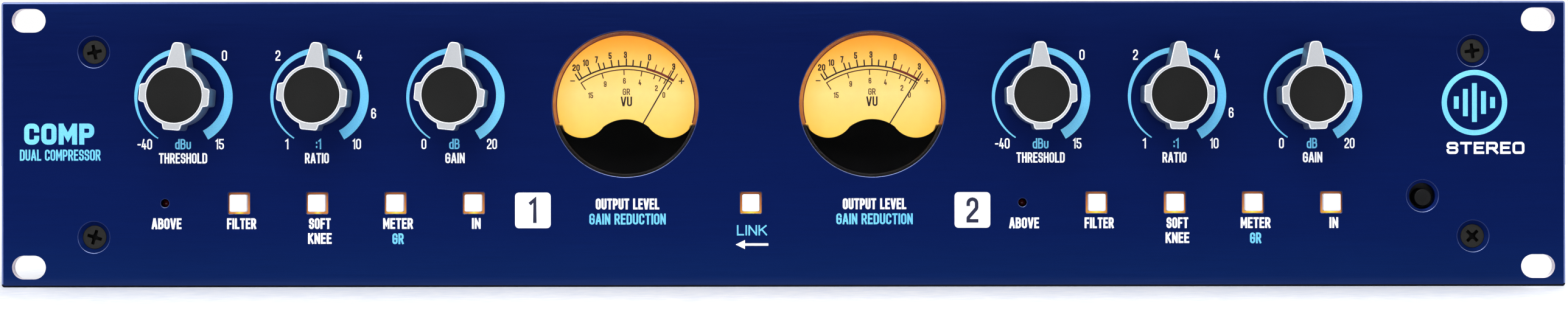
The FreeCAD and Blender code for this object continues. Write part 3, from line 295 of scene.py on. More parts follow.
class Finish:
    """A material's node tree around one Principled shader."""

    def __init__(self, name, roughness=0.5, metallic=0.0, **settings):
        self.material = bpy.data.materials.new(name)
        self.material.use_nodes = True
        self.tree = self.material.node_tree
        self.shader = self.tree.nodes["Principled BSDF"]
        self.shader.inputs["Roughness"].default_value = roughness
        self.shader.inputs["Metallic"].default_value = metallic
        for socket, value in settings.items():
            self.shader.inputs[socket.replace("_", " ")].default_value = value
        self.place = self.node("ShaderNodeTexCoord").outputs["Object"]

    def node(self, kind, links=(), **settings):
        made = self.tree.nodes.new(kind)
        for key, value in settings.items():
            if hasattr(made, key):
                setattr(made, key, value)
            else:
                made.inputs[key.replace("_", " ").title()].default_value = value
        for socket, source in dict(links).items():
            self.tree.links.new(source, made.inputs[socket])
        return made

    def feed(self, socket, source):
        self.tree.links.new(source, self.shader.inputs[socket])

    def noise(self, scale, stretch=(1, 1, 1), detail=3.0):
        """A noise pattern fixed to the piece; scale is in features per metre."""
        placed = self.node("ShaderNodeMapping", {"Vector": self.place}, scale=stretch)
        made = self.node("ShaderNodeTexNoise", {"Vector": placed.outputs[0]}, scale=scale, detail=detail)
        return made.outputs["Fac"]

    def level(self, value, low, high, floor=0.0, ceiling=1.0):
        """A value moved from one range to another, and kept inside it."""
        made = self.node("ShaderNodeMapRange", {"Value": value}, from_min=low, from_max=high, to_min=floor,
                         to_max=ceiling)
        return made.outputs["Result"]

    def ramp(self, value, *stops):
        """Colours along a value, each stop given as (place, (r, g, b))."""
        made = self.node("ShaderNodeValToRGB", {"Fac": value})
        band = made.color_ramp
        while len(band.elements) < len(stops):
            band.elements.new(0.5)
        for element, (place, colour) in zip(band.elements, stops):
            element.position = place
            element.color = linear(*colour)
        return made.outputs["Color"]

    def mix(self, factor, first, second, blend="MIX"):
        made = self.node("ShaderNodeMix", data_type="RGBA", blend_type=blend)
        if isinstance(factor, float):
            made.inputs["Factor"].default_value = factor
        else:
            self.tree.links.new(factor, made.inputs["Factor"])
        self.tree.links.new(first, made.inputs["A"])
        self.tree.links.new(second, made.inputs["B"])
        return made.outputs["Result"]

    def bump(self, height, distance):
        made = self.node("ShaderNodeBump", {"Height": height}, distance=distance * MM)
        self.feed("Normal", made.outputs["Normal"])

    def math(self, operation, first, second=None):
        made = self.node("ShaderNodeMath", operation=operation)
        for socket, value in enumerate((first, second)):
            if isinstance(value, (int, float)):
                made.inputs[socket].default_value = value
            elif value is not None:
                self.tree.links.new(value, made.inputs[socket])
        return made.outputs[0]

    def away(self, x, z):
        """How far a point is from a line along Y, and how far above it, in millimetres."""
        moved = self.node("ShaderNodeVectorMath", {0: self.place}, operation="SUBTRACT")
        moved.inputs[1].default_value = (x * MM, 0, z * MM)
        parts = self.node("ShaderNodeSeparateXYZ", {0: moved.outputs[0]})
        across = self.math("DIVIDE", parts.outputs["X"], MM)
        up = self.math("DIVIDE", parts.outputs["Z"], MM)
        radius = self.math("SQRT", self.math("ADD", self.math("MULTIPLY", across, across),
                                             self.math("MULTIPLY", up, up)))
        return radius, up


def moulded(name, dark, light, grain=1500, roughness=0.45, spread=0.08, relief=0.01, **settings):
    """An even finish with fine grain: two close colours, varied gloss and a little relief."""
    finish = Finish(name, roughness, **settings)
    grains = finish.noise(grain)
    clouds = finish.noise(40, detail=2.0)
    finish.feed("Base Color", finish.ramp(finish.math("MULTIPLY", finish.math("ADD", grains, clouds), 0.5),
                                          (0.35, dark), (0.65, light)))
    finish.feed("Roughness", finish.level(grains, 0.3, 0.7, roughness - spread, roughness + spread))
    finish.bump(grains, relief)
    return finish.material


def brushed_blue():
    """Blue anodised sheet with fine brushing along X, painted paler towards its foot as a painted reflection
    of the white floor.
    """
    finish = Finish("panel_blue", 0.4, metallic=0.5, Specular_IOR_Level=0.12)
    lines = finish.noise(1.0, stretch=(60, 3500, 3500), detail=4.0)
    up = finish.away(0, 0)[1]
    # painted light: the blue is paler at the sheet's foot, a painted reflection of the floor, and a little
    # paler at its top
    tone = finish.ramp(finish.level(up, -44, 44), (0.0, (34, 54, 108)), (0.035, (7, 38, 100)),
                       (0.08, (4, 35, 97)), (0.19, (1, 28, 92)), (0.36, (0, 25, 89)), (0.58, (0, 23, 85)),
                       (0.88, (0, 21, 81)), (1.0, (3, 28, 88)))
    streaks = finish.ramp(lines, (0.3, (236, 238, 242)), (0.7, (255, 255, 255)))
    clouds = finish.ramp(finish.noise(9.0, detail=2.0), (0.3, (240, 242, 246)), (0.7, (255, 255, 255)))
    tone = finish.mix(1.0, tone, streaks, "MULTIPLY")
    finish.feed("Base Color", finish.mix(1.0, tone, clouds, "MULTIPLY"))
    finish.feed("Roughness", finish.level(lines, 0.3, 0.7, 0.36, 0.46))
    finish.bump(lines, 0.004)
    return finish.material


def hole_edge_highlight():
    """A painted highlight on a hole's rounded edge, blue and palest where it faces up."""
    finish = Finish("panel_edge_highlight", 0.3, metallic=0.6)
    facing = finish.node("ShaderNodeSeparateXYZ", {0: finish.node("ShaderNodeTexCoord").outputs["Normal"]})
    tone = finish.ramp(finish.level(facing.outputs["Z"], -0.6, 0.6), (0.0, (30, 44, 98)),
                       (0.5, (46, 62, 118)), (0.85, (84, 102, 162)), (1.0, (172, 186, 236)))
    finish.feed("Base Color", tone)
    finish.feed("Roughness", finish.level(finish.noise(900), 0.3, 0.7, 0.24, 0.36))
    return finish.material


def panel_rim_highlight():
    """A painted highlight on the sheet's rounded rim, paler towards its corners."""
    finish = Finish("panel_rim_highlight", 0.35, metallic=0.6)
    radius = finish.away(0, 0)[0]
    finish.feed("Base Color", finish.ramp(finish.level(radius, 60, 240), (0.0, (34, 42, 88)),
                                          (0.6, (62, 76, 128)), (1.0, (118, 134, 186))))
    finish.feed("Roughness", finish.level(finish.noise(900), 0.3, 0.7, 0.28, 0.42))
    return finish.material


def glow(colour, strength):
    return {"Emission_Color": linear(*colour), "Emission_Strength": strength}


def ink(name, dark, light, **settings):
    return moulded(name, dark, light, grain=2500, roughness=0.5, spread=0.05, relief=0.002, **settings)


def lit_dial(name, x, z, mask_ends):
    """The dial's face, lit from below and behind, dark at its rim behind the mask."""
    finish = Finish(name, 0.6, Emission_Strength=1.1)
    radius, up = finish.away(x, z)
    tone = finish.ramp(finish.level(up, -12, 22), (0.0, (255, 208, 84)), (0.22, (255, 214, 108)),
                       (0.45, (255, 222, 132)), (0.66, (255, 210, 108)), (0.85, (252, 184, 70)),
                       (1.0, (246, 166, 48)))
    edge = finish.ramp(finish.level(radius, 9, 22), (0.0, (255, 255, 255)), (0.5, (255, 253, 246)),
                       (1.0, (255, 232, 186)))
    grain = finish.ramp(finish.noise(500), (0.3, (250, 250, 250)), (0.7, (255, 255, 255)))
    colour = finish.mix(1.0, finish.mix(1.0, tone, edge, "MULTIPLY"), grain, "MULTIPLY")
    shade = finish.ramp(finish.level(radius, 20.6, 21.0), (0.0, (255, 255, 255)), (1.0, (0, 0, 0)))
    below = finish.level(up, mask_ends, mask_ends - 0.6)
    finish.feed("Emission Color", finish.mix(below, colour, finish.mix(1.0, colour, shade, "MULTIPLY")))
    finish.feed("Base Color", finish.ramp(finish.noise(500), (0.3, (60, 45, 20)), (0.7, (70, 52, 24))))
    return finish.material


def lit_rim(name, x, z, mask_ends):
    """The lens's clear skirt, amber where the dial lights it and dark beside the mask."""
    finish = Finish(name, 0.25, Emission_Strength=1.0)
    up = finish.away(x, z)[1]
    colour = finish.ramp(finish.level(up, mask_ends - 0.6, 22.5), (0.0, (8, 6, 5)), (0.02, (176, 98, 38)),
                         (0.25, (206, 128, 54)), (0.6, (206, 128, 50)), (0.85, (168, 92, 34)),
                         (1.0, (104, 50, 20)))
    streaks = finish.ramp(finish.noise(300), (0.3, (225, 215, 210)), (0.7, (255, 255, 255)))
    finish.feed("Emission Color", finish.mix(1.0, colour, streaks, "MULTIPLY"))
    finish.feed("Base Color", finish.ramp(finish.noise(300), (0.3, (14, 10, 8)), (0.7, (20, 15, 11))))
    return finish.material


LAMP_DROP = 3.0        # from a button's centre down to the hottest spot of its light


def lit_gap(name, x, z, heat):
    """The amber light round a button, hottest over the small lamp under its lower edge."""
    finish = Finish(name, 0.4, Emission_Strength=1.0)
    radius = finish.away(x, z - LAMP_DROP)[0]
    spot = finish.ramp(finish.level(radius, 0.0, 3.8 * heat), (0.0, (255, 238, 90)), (0.4, (255, 196, 40)),
                       (1.0, (196, 122, 56)))
    sides = finish.ramp(finish.level(radius, 0.5, 7.0), (0.0, (226, 146, 54)), (0.5, (198, 116, 48)),
                        (0.85, (158, 88, 42)), (1.0, (72, 38, 24)))
    near = finish.level(radius, 2.0 * heat, 3.9 * heat)
    finish.feed("Emission Color", finish.mix(near, spot, sides))
    finish.feed("Base Color", finish.ramp(finish.noise(600), (0.3, (40, 22, 8)), (0.7, (54, 30, 12))))
    return finish.material


def clear_glass():
    finish = Finish("lens_clear", 0.03, IOR=1.12, Transmission_Weight=1.0, Specular_IOR_Level=0.12)
    finish.feed("Base Color", finish.ramp(finish.noise(60), (0.3, (250, 250, 252)), (0.7, (255, 255, 255))))
    return finish.material


BLUE = brushed_blue()
# painted highlight on the rounded edges of the panel's holes
PANEL_EDGE_HIGHLIGHT = hole_edge_highlight()
# painted highlight on the panel's rounded rim
RIM_HIGHLIGHT = panel_rim_highlight()
# painted light: the slot walls are painted near white, standing in for the bright backdrop lighting them
SLOT_WALL_LIGHT = moulded("slot_wall_light", (226, 218, 226), (244, 238, 244), 700, 0.4, 0.06, 0.004)
# painted shade: the lower half of the panel's rounded rim is painted near black
EDGE_SHADE = moulded("panel_foot_shade", (8, 10, 20), (14, 18, 34), 900, 0.6, 0.06, 0.004, Specular_IOR_Level=0.1)
# The faint glow on the white print is painted light that brightens it.
WHITE_INK = ink("white_ink", (240, 242, 247), (252, 253, 255), **glow((250, 252, 255), 0.15))
CYAN_INK = ink("cyan_ink", (96, 196, 246), (126, 220, 255))
DARK_INK = ink("badge_ink", (8, 16, 52), (11, 21, 64))
DIAL_INK = ink("dial_ink", (22, 8, 4), (32, 12, 6), **glow((62, 24, 8), 0.2))
DIAL_PALE_INK = ink("dial_pale_ink", (50, 22, 6), (60, 28, 9), **glow((104, 48, 12), 0.3))
DIAL_RED_INK = ink("dial_red_ink", (88, 22, 8), (104, 28, 10), **glow((96, 20, 6), 0.6))
KNOB_FACE = moulded("knob_face", (180, 182, 185), (189, 191, 193), 2500, 0.45, 0.05, 0.003, metallic=0.1)
# painted highlight on the knob's rounded front edges
KNOB_EDGE = moulded("knob_edge_highlight", (238, 240, 244), (250, 251, 253), 2500, 0.25, 0.05, 0.002, metallic=0.2)
# painted shade and painted reflection of the blue panel: the knob's light grey sides are painted dark
# grey-blue
KNOB_SIDE_SHADE = moulded("knob_side_shade", (76, 90, 116), (84, 98, 124), 900, 0.4, 0.05, 0.001, metallic=0.1)
KNOB_CAP = moulded("knob_cap", (15, 15, 14), (29, 29, 28), 3000, 0.7, 0.08, 0.03, Specular_IOR_Level=0.15)
# The faint white glow is painted light that brightens the caps.
BUTTON_WHITE = moulded("button_white", (236, 238, 246), (246, 248, 255), 1200, 0.35, 0.05, 0.004,
                       Subsurface_Weight=0.1, Subsurface_Scale=0.001, **glow((255, 250, 245), 0.08))
SCREW_BLACK = moulded("screw_black", (21, 20, 17), (31, 30, 25), 2200, 0.5, 0.1, 0.01,
                      Specular_IOR_Level=0.3)
# painted shade: the screws' cross recess is painted darker than their heads
RECESS_SHADE = moulded("recess_shade", (5, 5, 5), (9, 9, 8), 900, 0.6, 0.1, 0.01, Specular_IOR_Level=0.1)
CASE_BLACK = moulded("case_black", (22, 22, 23), (36, 36, 38), 1400, 0.55, 0.1, 0.06)
MASK_BLACK = moulded("meter_black", (2, 2, 2), (4, 4, 4), 700, 0.4, 0.05, 0.003, Specular_IOR_Level=0.02)
LAMP_RED = moulded("lamp_red", (60, 6, 6), (92, 12, 10), 1500, 0.15, 0.05, 0.004)
LAMP_AMBER = moulded("lamp_amber", (250, 190, 70), (255, 214, 100), 1500, 0.3, 0.05, 0.004,
                     **glow((255, 200, 70), 1.2))
NICKEL = moulded("nickel", (176, 174, 168), (204, 202, 196), 1600, 0.28, 0.08, 0.01, metallic=1.0)
CONNECTOR_BLACK = moulded("connector_black", (16, 16, 17), (28, 28, 30), 1300, 0.4, 0.08, 0.02)
SWITCH_PLASTIC = moulded("switch_plastic", (30, 30, 32), (44, 44, 46), 1300, 0.5, 0.08, 0.02)
BUTTON_BLACK = moulded("button_black", (8, 8, 9), (14, 14, 15), 1500, 0.45, 0.08, 0.005,
                       Specular_IOR_Level=0.2)
NEEDLE = moulded("needle_brown", (34, 12, 6), (46, 18, 9), 1500, 0.5, 0.05, 0.002)
# painted shadow: a dark red line where the gap between dial and lens skirt lies in shade, given a dim glow
SHADE_LINE = moulded("shade_line", (78, 16, 8), (96, 24, 10), 1500, 0.5, 0.05, 0.002,
                 **glow((84, 20, 8), 0.7))
BOARD = moulded("circuit_board", (12, 62, 34), (20, 84, 46), 300, 0.4, 0.1, 0.01)
COMPONENT = moulded("component_black", (18, 18, 19), (34, 34, 36), 900, 0.5, 0.1, 0.01)
STEEL = moulded("transformer_steel", (96, 98, 100), (128, 130, 132), 500, 0.45, 0.1, 0.01, metallic=0.8)
FUSE_GLASS = moulded("fuse_glass", (200, 208, 206), (226, 232, 230), 400, 0.12, 0.04, 0.002)
GLASS = clear_glass()


# ---------------------------------------------------------------- lettering

R = 0.17      # corner radius of the letters, as a share of their height
LETTERS = {
    "A": (0.52, [[(0, 0), (0.22, 1)], [(0.3, 1), (0.52, 0)], [(0.08, 0.28), (0.44, 0.28)]]),
    "B": (0.48, [[(0, 0.53), (0, 1), (0.45, 1, R), (0.45, 0.53, R), (0, 0.53)],
                 [(0, 0), (0, 0.53), (0.48, 0.53, 0.1), (0.48, 0, R), (0, 0)]]),
    "C": (0.46, [[(0.46, 0.76), (0.46, 1, R), (0, 1, R), (0, 0, R), (0.46, 0, R), (0.46, 0.24)]]),
    "D": (0.47, [[(0, 0), (0, 1), (0.47, 1, R), (0.47, 0, R), (0, 0)]]),
    "E": (0.4, [[(0.4, 1), (0, 1), (0, 0), (0.4, 0)], [(0, 0.52), (0.34, 0.52)]]),
    "F": (0.4, [[(0.4, 1), (0, 1), (0, 0)], [(0, 0.5), (0.34, 0.5)]]),
    "G": (0.47, [[(0.47, 0.76), (0.47, 1, R), (0, 1, R), (0, 0, R), (0.47, 0, R), (0.47, 0.5),
                  (0.27, 0.5)]]),
    "H": (0.47, [[(0, 0), (0, 1)], [(0.47, 0), (0.47, 1)], [(0, 0.52), (0.47, 0.52)]]),
    "I": (0.0, [[(0, 0), (0, 1)]]),
    "K": (0.48, [[(0, 0), (0, 1)], [(0.45, 1), (0.04, 0.46)], [(0.16, 0.6), (0.48, 0)]]),
    "L": (0.38, [[(0, 1), (0, 0), (0.38, 0)]]),
    "M": (0.62, [[(0, 0), (0, 1)], [(0.62, 0), (0.62, 1)], [(0.06, 0.9), (0.31, 0.3), (0.56, 0.9)]]),
    "N": (0.48, [[(0, 0), (0, 1)], [(0.48, 0), (0.48, 1)], [(0.04, 0.92), (0.44, 0.08)]]),
    "O": (0.47, [[(0, 0, R), (0, 1, R), (0.47, 1, R), (0.47, 0, R), (0, 0, R)]]),
    "P": (0.46, [[(0, 0), (0, 0.7)], [(0, 0.42), (0, 1), (0.46, 1, R), (0.46, 0.42, R), (0, 0.42)]]),
    "R": (0.48, [[(0, 0), (0, 0.7)], [(0, 0.46), (0, 1), (0.46, 1, R), (0.46, 0.46, R), (0, 0.46)],
                 [(0.26, 0.46), (0.48, 0)]]),
    "S": (0.46, [[(0.46, 0.76), (0.46, 1, R), (0, 1, R), (0, 0.52, R), (0.46, 0.52, R), (0.46, 0, R),
                  (0, 0, R), (0, 0.24)]]),
    "T": (0.46, [[(0, 1), (0.46, 1)], [(0.23, 0), (0.23, 1)]]),
    "U": (0.47, [[(0, 1), (0, 0, R), (0.47, 0, R), (0.47, 1)]]),
    "V": (0.52, [[(0, 1), (0.22, 0)], [(0.3, 0), (0.52, 1)]]),
    "1": (0.17, [[(0, 0.84), (0.17, 1), (0.17, 0)]]),
    "2": (0.44, [[(0, 0.76), (0, 1, R), (0.44, 1, R), (0.44, 0.58, 0.12), (0, 0.14, 0.05), (0, 0),
                  (0.44, 0)]]),
    "3": (0.44, [[(0, 0.76), (0, 1, R), (0.44, 1, R), (0.44, 0.52, 0.12), (0.16, 0.52)],
                 [(0.22, 0.52), (0.44, 0.52, 0.12), (0.44, 0, R), (0, 0, R), (0, 0.24)]]),
    "4": (0.46, [[(0.2, 1), (0, 0.24), (0.46, 0.24)], [(0.34, 0.5), (0.34, 0)]]),
    "5": (0.44, [[(0.42, 1), (0, 1), (0, 0.57), (0.44, 0.57, R), (0.44, 0, R), (0, 0, R), (0, 0.24)]]),
    "6": (0.44, [[(0.42, 0.78), (0.42, 1, R), (0, 1, R), (0, 0.3)],
                 [(0, 0, R), (0, 0.56, R), (0.44, 0.56, R), (0.44, 0, R), (0, 0, R)]]),
    "7": (0.42, [[(0, 1), (0.42, 1), (0.16, 0)]]),
    "9": (0.44, [[(0.02, 0.22), (0.02, 0, R), (0.44, 0, R), (0.44, 0.7)],
                 [(0, 0.44, R), (0, 1, R), (0.44, 1, R), (0.44, 0.44, R), (0, 0.44, R)]]),
    "-": (0.26, [[(0, 0.45), (0.26, 0.45)]]),
    "+": (0.5, [[(0, 0.5), (0.5, 0.5)], [(0.25, 0.25), (0.25, 0.75)]]),
    ":": (0.0, [[(0, 0.14), (0, 0.2)], [(0, 0.62), (0, 0.68)]]),
    "d": (0.42, [[(0.42, 1), (0.42, 0)], [(0, 0, R), (0, 0.66, R), (0.42, 0.66), (0.42, 0), (0, 0, R)]]),
    "u": (0.42, [[(0, 0.68), (0, 0, R), (0.42, 0, R), (0.42, 0.68)]]),
    " ": (0.1, []),
}
LETTERS["0"] = LETTERS["O"]
LETTER_GAP = 0.1


def write(shape, text, x, z, height, width, line, y=FRONT, mirrored=False):
    """Letters of one line width, centred on (x, z), with the whole text this wide."""
    bold = line / height
    natural = sum(LETTERS[c][0] + bold for c in text) + LETTER_GAP * (len(text) - 1)
    stretch = (width - line * len(text)) / ((natural - bold * len(text)) * height)
    facing = -1 if mirrored else 1
    pen = -width / 2
    for c in text:
        advance, strokes = LETTERS[c]
        for n, path in enumerate(strokes):
            placed = []
            for px, pz, *radius in path:
                across = pen + line / 2 + px * height * stretch
                up = line / 2 + pz * (height - line) - height / 2
                placed.append((x + facing * across, z + up, *[r * height for r in radius]))
            lift = INK + 0.002 * (n % 4)
            closed = placed[0] == placed[-1]
            shape.stroke(rounded(placed[:-1] if closed else placed, closed), line, y - facing * lift,
                         y + facing * SUNK, closed)
        pen += line + (advance + LETTER_GAP) * height * stretch


# ---------------------------------------------------------------- front panel

low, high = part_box("front_panel")
PANEL_WIDTH, PANEL_HEIGHT = (high.x - low.x) / MM, (high.z - low.z) / MM
SLOT_X, SLOT_Z, SLOT_RISE, SLOT_LENGTH, SLOT_WIDTH = 232.8, 38.1, 0.2, 10.4, 7.3
SCREW_X, SCREW_Z = 212.75, 28.6
COUNTERSINK, SCREW_HOLE, SINK_ANGLE = 4.85, 2.2, 41.0
OUTER_EDGE, BACK_EDGE, HOLE_EDGE, SLOT_EDGE, METER_EDGE = 0.6, 0.3, 0.16, 0.12, 0.22
PANEL_CORNER, BUTTON_CORNER = 0.9, 0.4
SHAFT_HOLE, METER_HOLE, LAMP_HOLE = 3.62, 22.55, 1.32
POWER_MOUTH, POWER_THROAT, POWER_SLOPE = 4.9, 4.05, 0.85
FUNNEL_EDGE = 0.2
# Besides the plain blue, the panel's faces take painted highlights on hole edges and the upper rim, painted
# light on the slot walls and painted shade on the rim's lower half.
FLAT, HOLE_HIGHLIGHT, SLOT_SIDE_LIGHT, FOOT_SHADE, TOP_RIM_HIGHLIGHT = range(5)       # which of the panel's finishes a face takes
BUTTON_NODES = [f"{name}_button_{channel}" for channel in CHANNELS for name in BUTTONS] + ["link_button"]
BUTTON_HOLE = 6.65
LAMP_X = [centre("filter_button_1").x - 22.85 + n * PITCH for n in range(2)]
LAMP_Z = centre("filter_button_1").z
POWER = centre("power_button")
POWER_HOLE = (POWER.x - 0.25, POWER.z + 0.45)


def through(path, edge=HOLE_EDGE):
    """Rings of a straight hole with rounded edges front and back."""
    front = [(grown(path, inset), FRONT + depth) for inset, depth in fillet(edge, 4)]
    back = [(grown(path, inset), -depth) for inset, depth in fillet(edge, 3)]
    return front + back[::-1]


def funnel(x, z, mouth, throat, depth):
    """Rings of a hole that narrows from its mouth, then goes straight through."""
    return turned(x, z, ((mouth + FUNNEL_EDGE, FRONT), (mouth + FUNNEL_EDGE * 0.4, FRONT + FUNNEL_EDGE * 0.3),
                         (mouth, FRONT + FUNNEL_EDGE), (throat, FRONT + depth), (throat, 0)))


def panel():
    shape = Shape()
    outline = box_outline(0, 0, PANEL_WIDTH, PANEL_HEIGHT, PANEL_CORNER, 6)
    rings = [(grown(outline, -inset), FRONT + depth) for inset, depth in fillet(OUTER_EDGE, 6)]
    rings += [(grown(outline, -inset), -depth) for inset, depth in fillet(BACK_EDGE, 3)][::-1]
    # the rim's rounded front edge takes the painted highlight
    rims = [shape.loft(rings, paints=[TOP_RIM_HIGHLIGHT] * 6 + [FLAT] * 4)]
    # the rim's lower half takes the painted shade instead
    for n, corners in enumerate(shape.faces):
        if shape.paints[n] and max(shape.points[i][2] for i in corners) < 0:
            shape.paints[n] = FOOT_SHADE
    for sx in SIDES:
        for sz in SIDES:
            path = box_outline(sx * SLOT_X, sz * SLOT_Z + SLOT_RISE, SLOT_LENGTH, SLOT_WIDTH,
                               SLOT_WIDTH / 2 - 0.001, 16)
            # the slot walls take the painted light
            rims.append(shape.loft(through(path, SLOT_EDGE), paints=[FLAT] * 4 + [SLOT_SIDE_LIGHT] + [FLAT] * 3))
    holes = []
    for name in KNOBS:
        for channel in CHANNELS:
            at = centre(f"{name}_shaft_{channel}")
            holes.append(through(circle(at.x, at.z, SHAFT_HOLE, 40)))
    for node in BUTTON_NODES:
        at = centre(node)
        holes.append(through(box_outline(at.x, at.z, BUTTON_HOLE, BUTTON_HOLE, BUTTON_CORNER)))
    for channel in CHANNELS:
        at = centre(f"meter_lens_{channel}")
        holes.append(through(circle(at.x, at.z, METER_HOLE, 144), METER_EDGE))
    for x in LAMP_X:
        holes.append(through(circle(x, LAMP_Z, LAMP_HOLE, 40)))
    holes.append(funnel(*POWER_HOLE, POWER_MOUTH, POWER_THROAT, POWER_SLOPE))
    sunk = (COUNTERSINK - SCREW_HOLE) / math.tan(math.radians(SINK_ANGLE))
    holes += [funnel(sx * SCREW_X, sz * SCREW_Z, COUNTERSINK, SCREW_HOLE, sunk)
              for sx in SIDES for sz in SIDES]
    for rings in holes:
        # the front edge of each hole takes the painted highlight
        edge_rings = 4 if len(rings) > 5 else 2
        rims.append(shape.loft(rings, paints=[HOLE_HIGHLIGHT] * edge_rings + [FLAT] * 4))
    shape.sheet([rim[0] for rim in rims])
    shape.sheet([rim[-1] for rim in rims])
    shape.make("panel", "chassis", [BLUE, PANEL_EDGE_HIGHLIGHT, SLOT_WALL_LIGHT, EDGE_SHADE, RIM_HIGHLIGHT], "panel_blue",
               ["front_panel"])


SCREW_TURNS = {(-1, 1): -12, (-1, -1): 17, (1, 1): -7, (1, -1): 44}
HEAD_RADIUS, SHANK_RADIUS, HEAD_EDGE = 3.68, 2.0, 0.25
CROSS_ARM, CROSS_REACH, CROSS_DEPTH = 0.44, 2.25, 1.5
SHANK_END = 8.0


def panel_screws():
    """Countersunk screws with a cross recess, each turned its own way."""
    top = front_of("panel_screws")
    shape = Shape()
    for (sx, sz), turn in SCREW_TURNS.items():
        x, z = sx * SCREW_X, sz * SCREW_Z
        cross = []
        for quarter in range(4):
            a = math.radians(turn + quarter * 90)
            for across, up, corner in ((-CROSS_ARM, CROSS_REACH, 0.15), (CROSS_ARM, CROSS_REACH, 0.15),
                                       (CROSS_ARM, CROSS_ARM, 0.55)):
                cross.append((x + across * math.cos(a) + up * math.sin(a),
                              z - across * math.sin(a) + up * math.cos(a), corner))
        recess = rounded(cross[::-1], steps=3)
        neck = top + HEAD_EDGE + (HEAD_RADIUS - SHANK_RADIUS) / math.tan(math.radians(SINK_ANGLE))
        profile = [(HEAD_RADIUS - inset, top + depth) for inset, depth in fillet(HEAD_EDGE, 3)]
        profile += [(SHANK_RADIUS, neck), (SHANK_RADIUS, SHANK_END - 0.5), (SHANK_RADIUS - 0.5, SHANK_END)]
        body = shape.loft(turned(x, z, profile))
        shape.face(body[-1])
        # the recess walls and floor take the painted shade
        well = shape.loft([(grown(recess, 0.1), top), (recess, top + 0.12),
                           (grown(recess, -0.12), top + CROSS_DEPTH)], paints=[0, 1])
        shape.face(well[-1], 1)
        shape.sheet([body[0], well[0]])
    shape.make("panel_screw_set", "chassis", [SCREW_BLACK, RECESS_SHADE], "screw_black", ["panel_screws"])


# ---------------------------------------------------------------- knobs

KNOB_BACK, KNOB_RADIUS, ROOT = -5.76, 9.5, 0.4
KNOB_EDGE_ROUND, SHAFT_BORE, BORE_DEPTH = 0.34, 6.6, 3.3
CAP_RADIUS, CAP_BACK = 8.4, 1.08
# each feature's angle, reach, half width at the axis, half width at the tip, corner radius
LOBES = [(angle, 10.74, 5.0, 2.6, 0.8) for angle in (90, 180, 270)]
POINTER = (0, 16.15, 5.15, 1.6, 1.3)
# the rounded edges take a painted highlight, the sides painted shade
FACE, SIDE, HIGHLIT_EDGE = range(3)       # which of the knob's finishes a face takes


def turned_path(path, x, z, degrees):
    turn = math.radians(degrees)
    return [(x + px * math.cos(turn) + pz * math.sin(turn), z + pz * math.cos(turn) - px * math.sin(turn))
            for px, pz in path]


def knob_outline():
    """Collar with a pointer and three lobes, round the origin, the pointer towards +Z."""
    points = []
    features = [POINTER, *LOBES]
    for n, (angle, reach, base, tip, corner) in enumerate(features):
        slope = (tip - base) / reach
        foot = KNOB_RADIUS
        for _ in range(20):
            foot = math.sqrt(KNOB_RADIUS ** 2 - (base + slope * foot) ** 2)
        half = base + slope * foot
        sides = turned_path(((-half, foot), (-tip, reach), (tip, reach), (half, foot)), 0, 0, angle)
        points += [(*place, radius) for place, radius in zip(sides, (ROOT, corner, corner, ROOT))]
        spread = math.degrees(math.asin(half / KNOB_RADIUS))
        _, next_reach, next_base, next_tip, _ = features[(n + 1) % 4]
        next_half = next_base + (next_tip - next_base) / next_reach * KNOB_RADIUS
        next_spread = math.degrees(math.asin(next_half / KNOB_RADIUS))
        points += arc(0, 0, KNOB_RADIUS, angle + spread + 5, angle + 90 - next_spread - 5, 14)
    return rounded(points, steps=4)[::-1]


def rest_turn(node, axis):
    """How far a node's farthest point stands clockwise from 12 o'clock, in degrees."""
    points = [(v.co.x / MM - axis[0], v.co.z / MM - axis[1]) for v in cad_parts[node].data.vertices]
    reach = max(math.hypot(*p) for p in points)
    tip = [p for p in points if math.hypot(*p) > reach - 0.05]
    return math.degrees(math.atan2(sum(p[0] for p in tip), sum(p[1] for p in tip)))


def knob(name, channel):
    body = f"{name}_knob_{channel}"
    at = centre(f"{name}_shaft_{channel}")
    face = front_of(body)
    outline = turned_path(knob_outline(), at.x, at.z, rest_turn(body, (at.x, at.z)))
    shape = Shape()
    edge = [(grown(outline, -inset), face + depth) for inset, depth in fillet(KNOB_EDGE_ROUND, 5)]
    # the sides, the recess's wall, the bore and the back take the painted shade
    side = [(outline, KNOB_BACK - 0.15), (grown(outline, -0.15), KNOB_BACK)]
    # the rounded front edge and the recess's lip take the painted highlight
    rims = shape.loft(edge + side, paints=[HIGHLIT_EDGE] * 5 + [SIDE] * 2)
    recess = shape.loft(turned(at.x, at.z, ((8.72, face), (8.6, face + 0.05), (8.48, face + 0.17),
                                            (8.48, face + 1.1)), 96), paints=[HIGHLIT_EDGE, HIGHLIT_EDGE, SIDE])
    shape.face(recess[-1], SIDE)
    bore = ((SHAFT_BORE, KNOB_BACK), (SHAFT_BORE, KNOB_BACK - BORE_DEPTH))
    hollow = shape.loft(turned(at.x, at.z, bore, 48), paint=SIDE)
    shape.face(hollow[-1], SIDE)
    shape.sheet([rims[0], recess[0]])
    shape.sheet([rims[-1], hollow[0]], SIDE)
    shape.make(f"{body}_body", body, [KNOB_FACE, KNOB_SIDE_SHADE, KNOB_EDGE], "knob_grey", [body])

    cap = Shape()
    cap_face = front_of(f"{name}_cap_{channel}")
    cap.solid(turned(at.x, at.z, ((CAP_RADIUS, face + CAP_BACK), (CAP_RADIUS, cap_face + 0.15),
                                  (CAP_RADIUS - 0.05, cap_face + 0.04), (CAP_RADIUS - 0.15, cap_face),
                                  (4, cap_face), (1, cap_face)), 96))
    cap.make(f"{body}_cap", body, [KNOB_CAP], "knob_black", [f"{name}_cap_{channel}"])


# ---------------------------------------------------------------- buttons and lamps

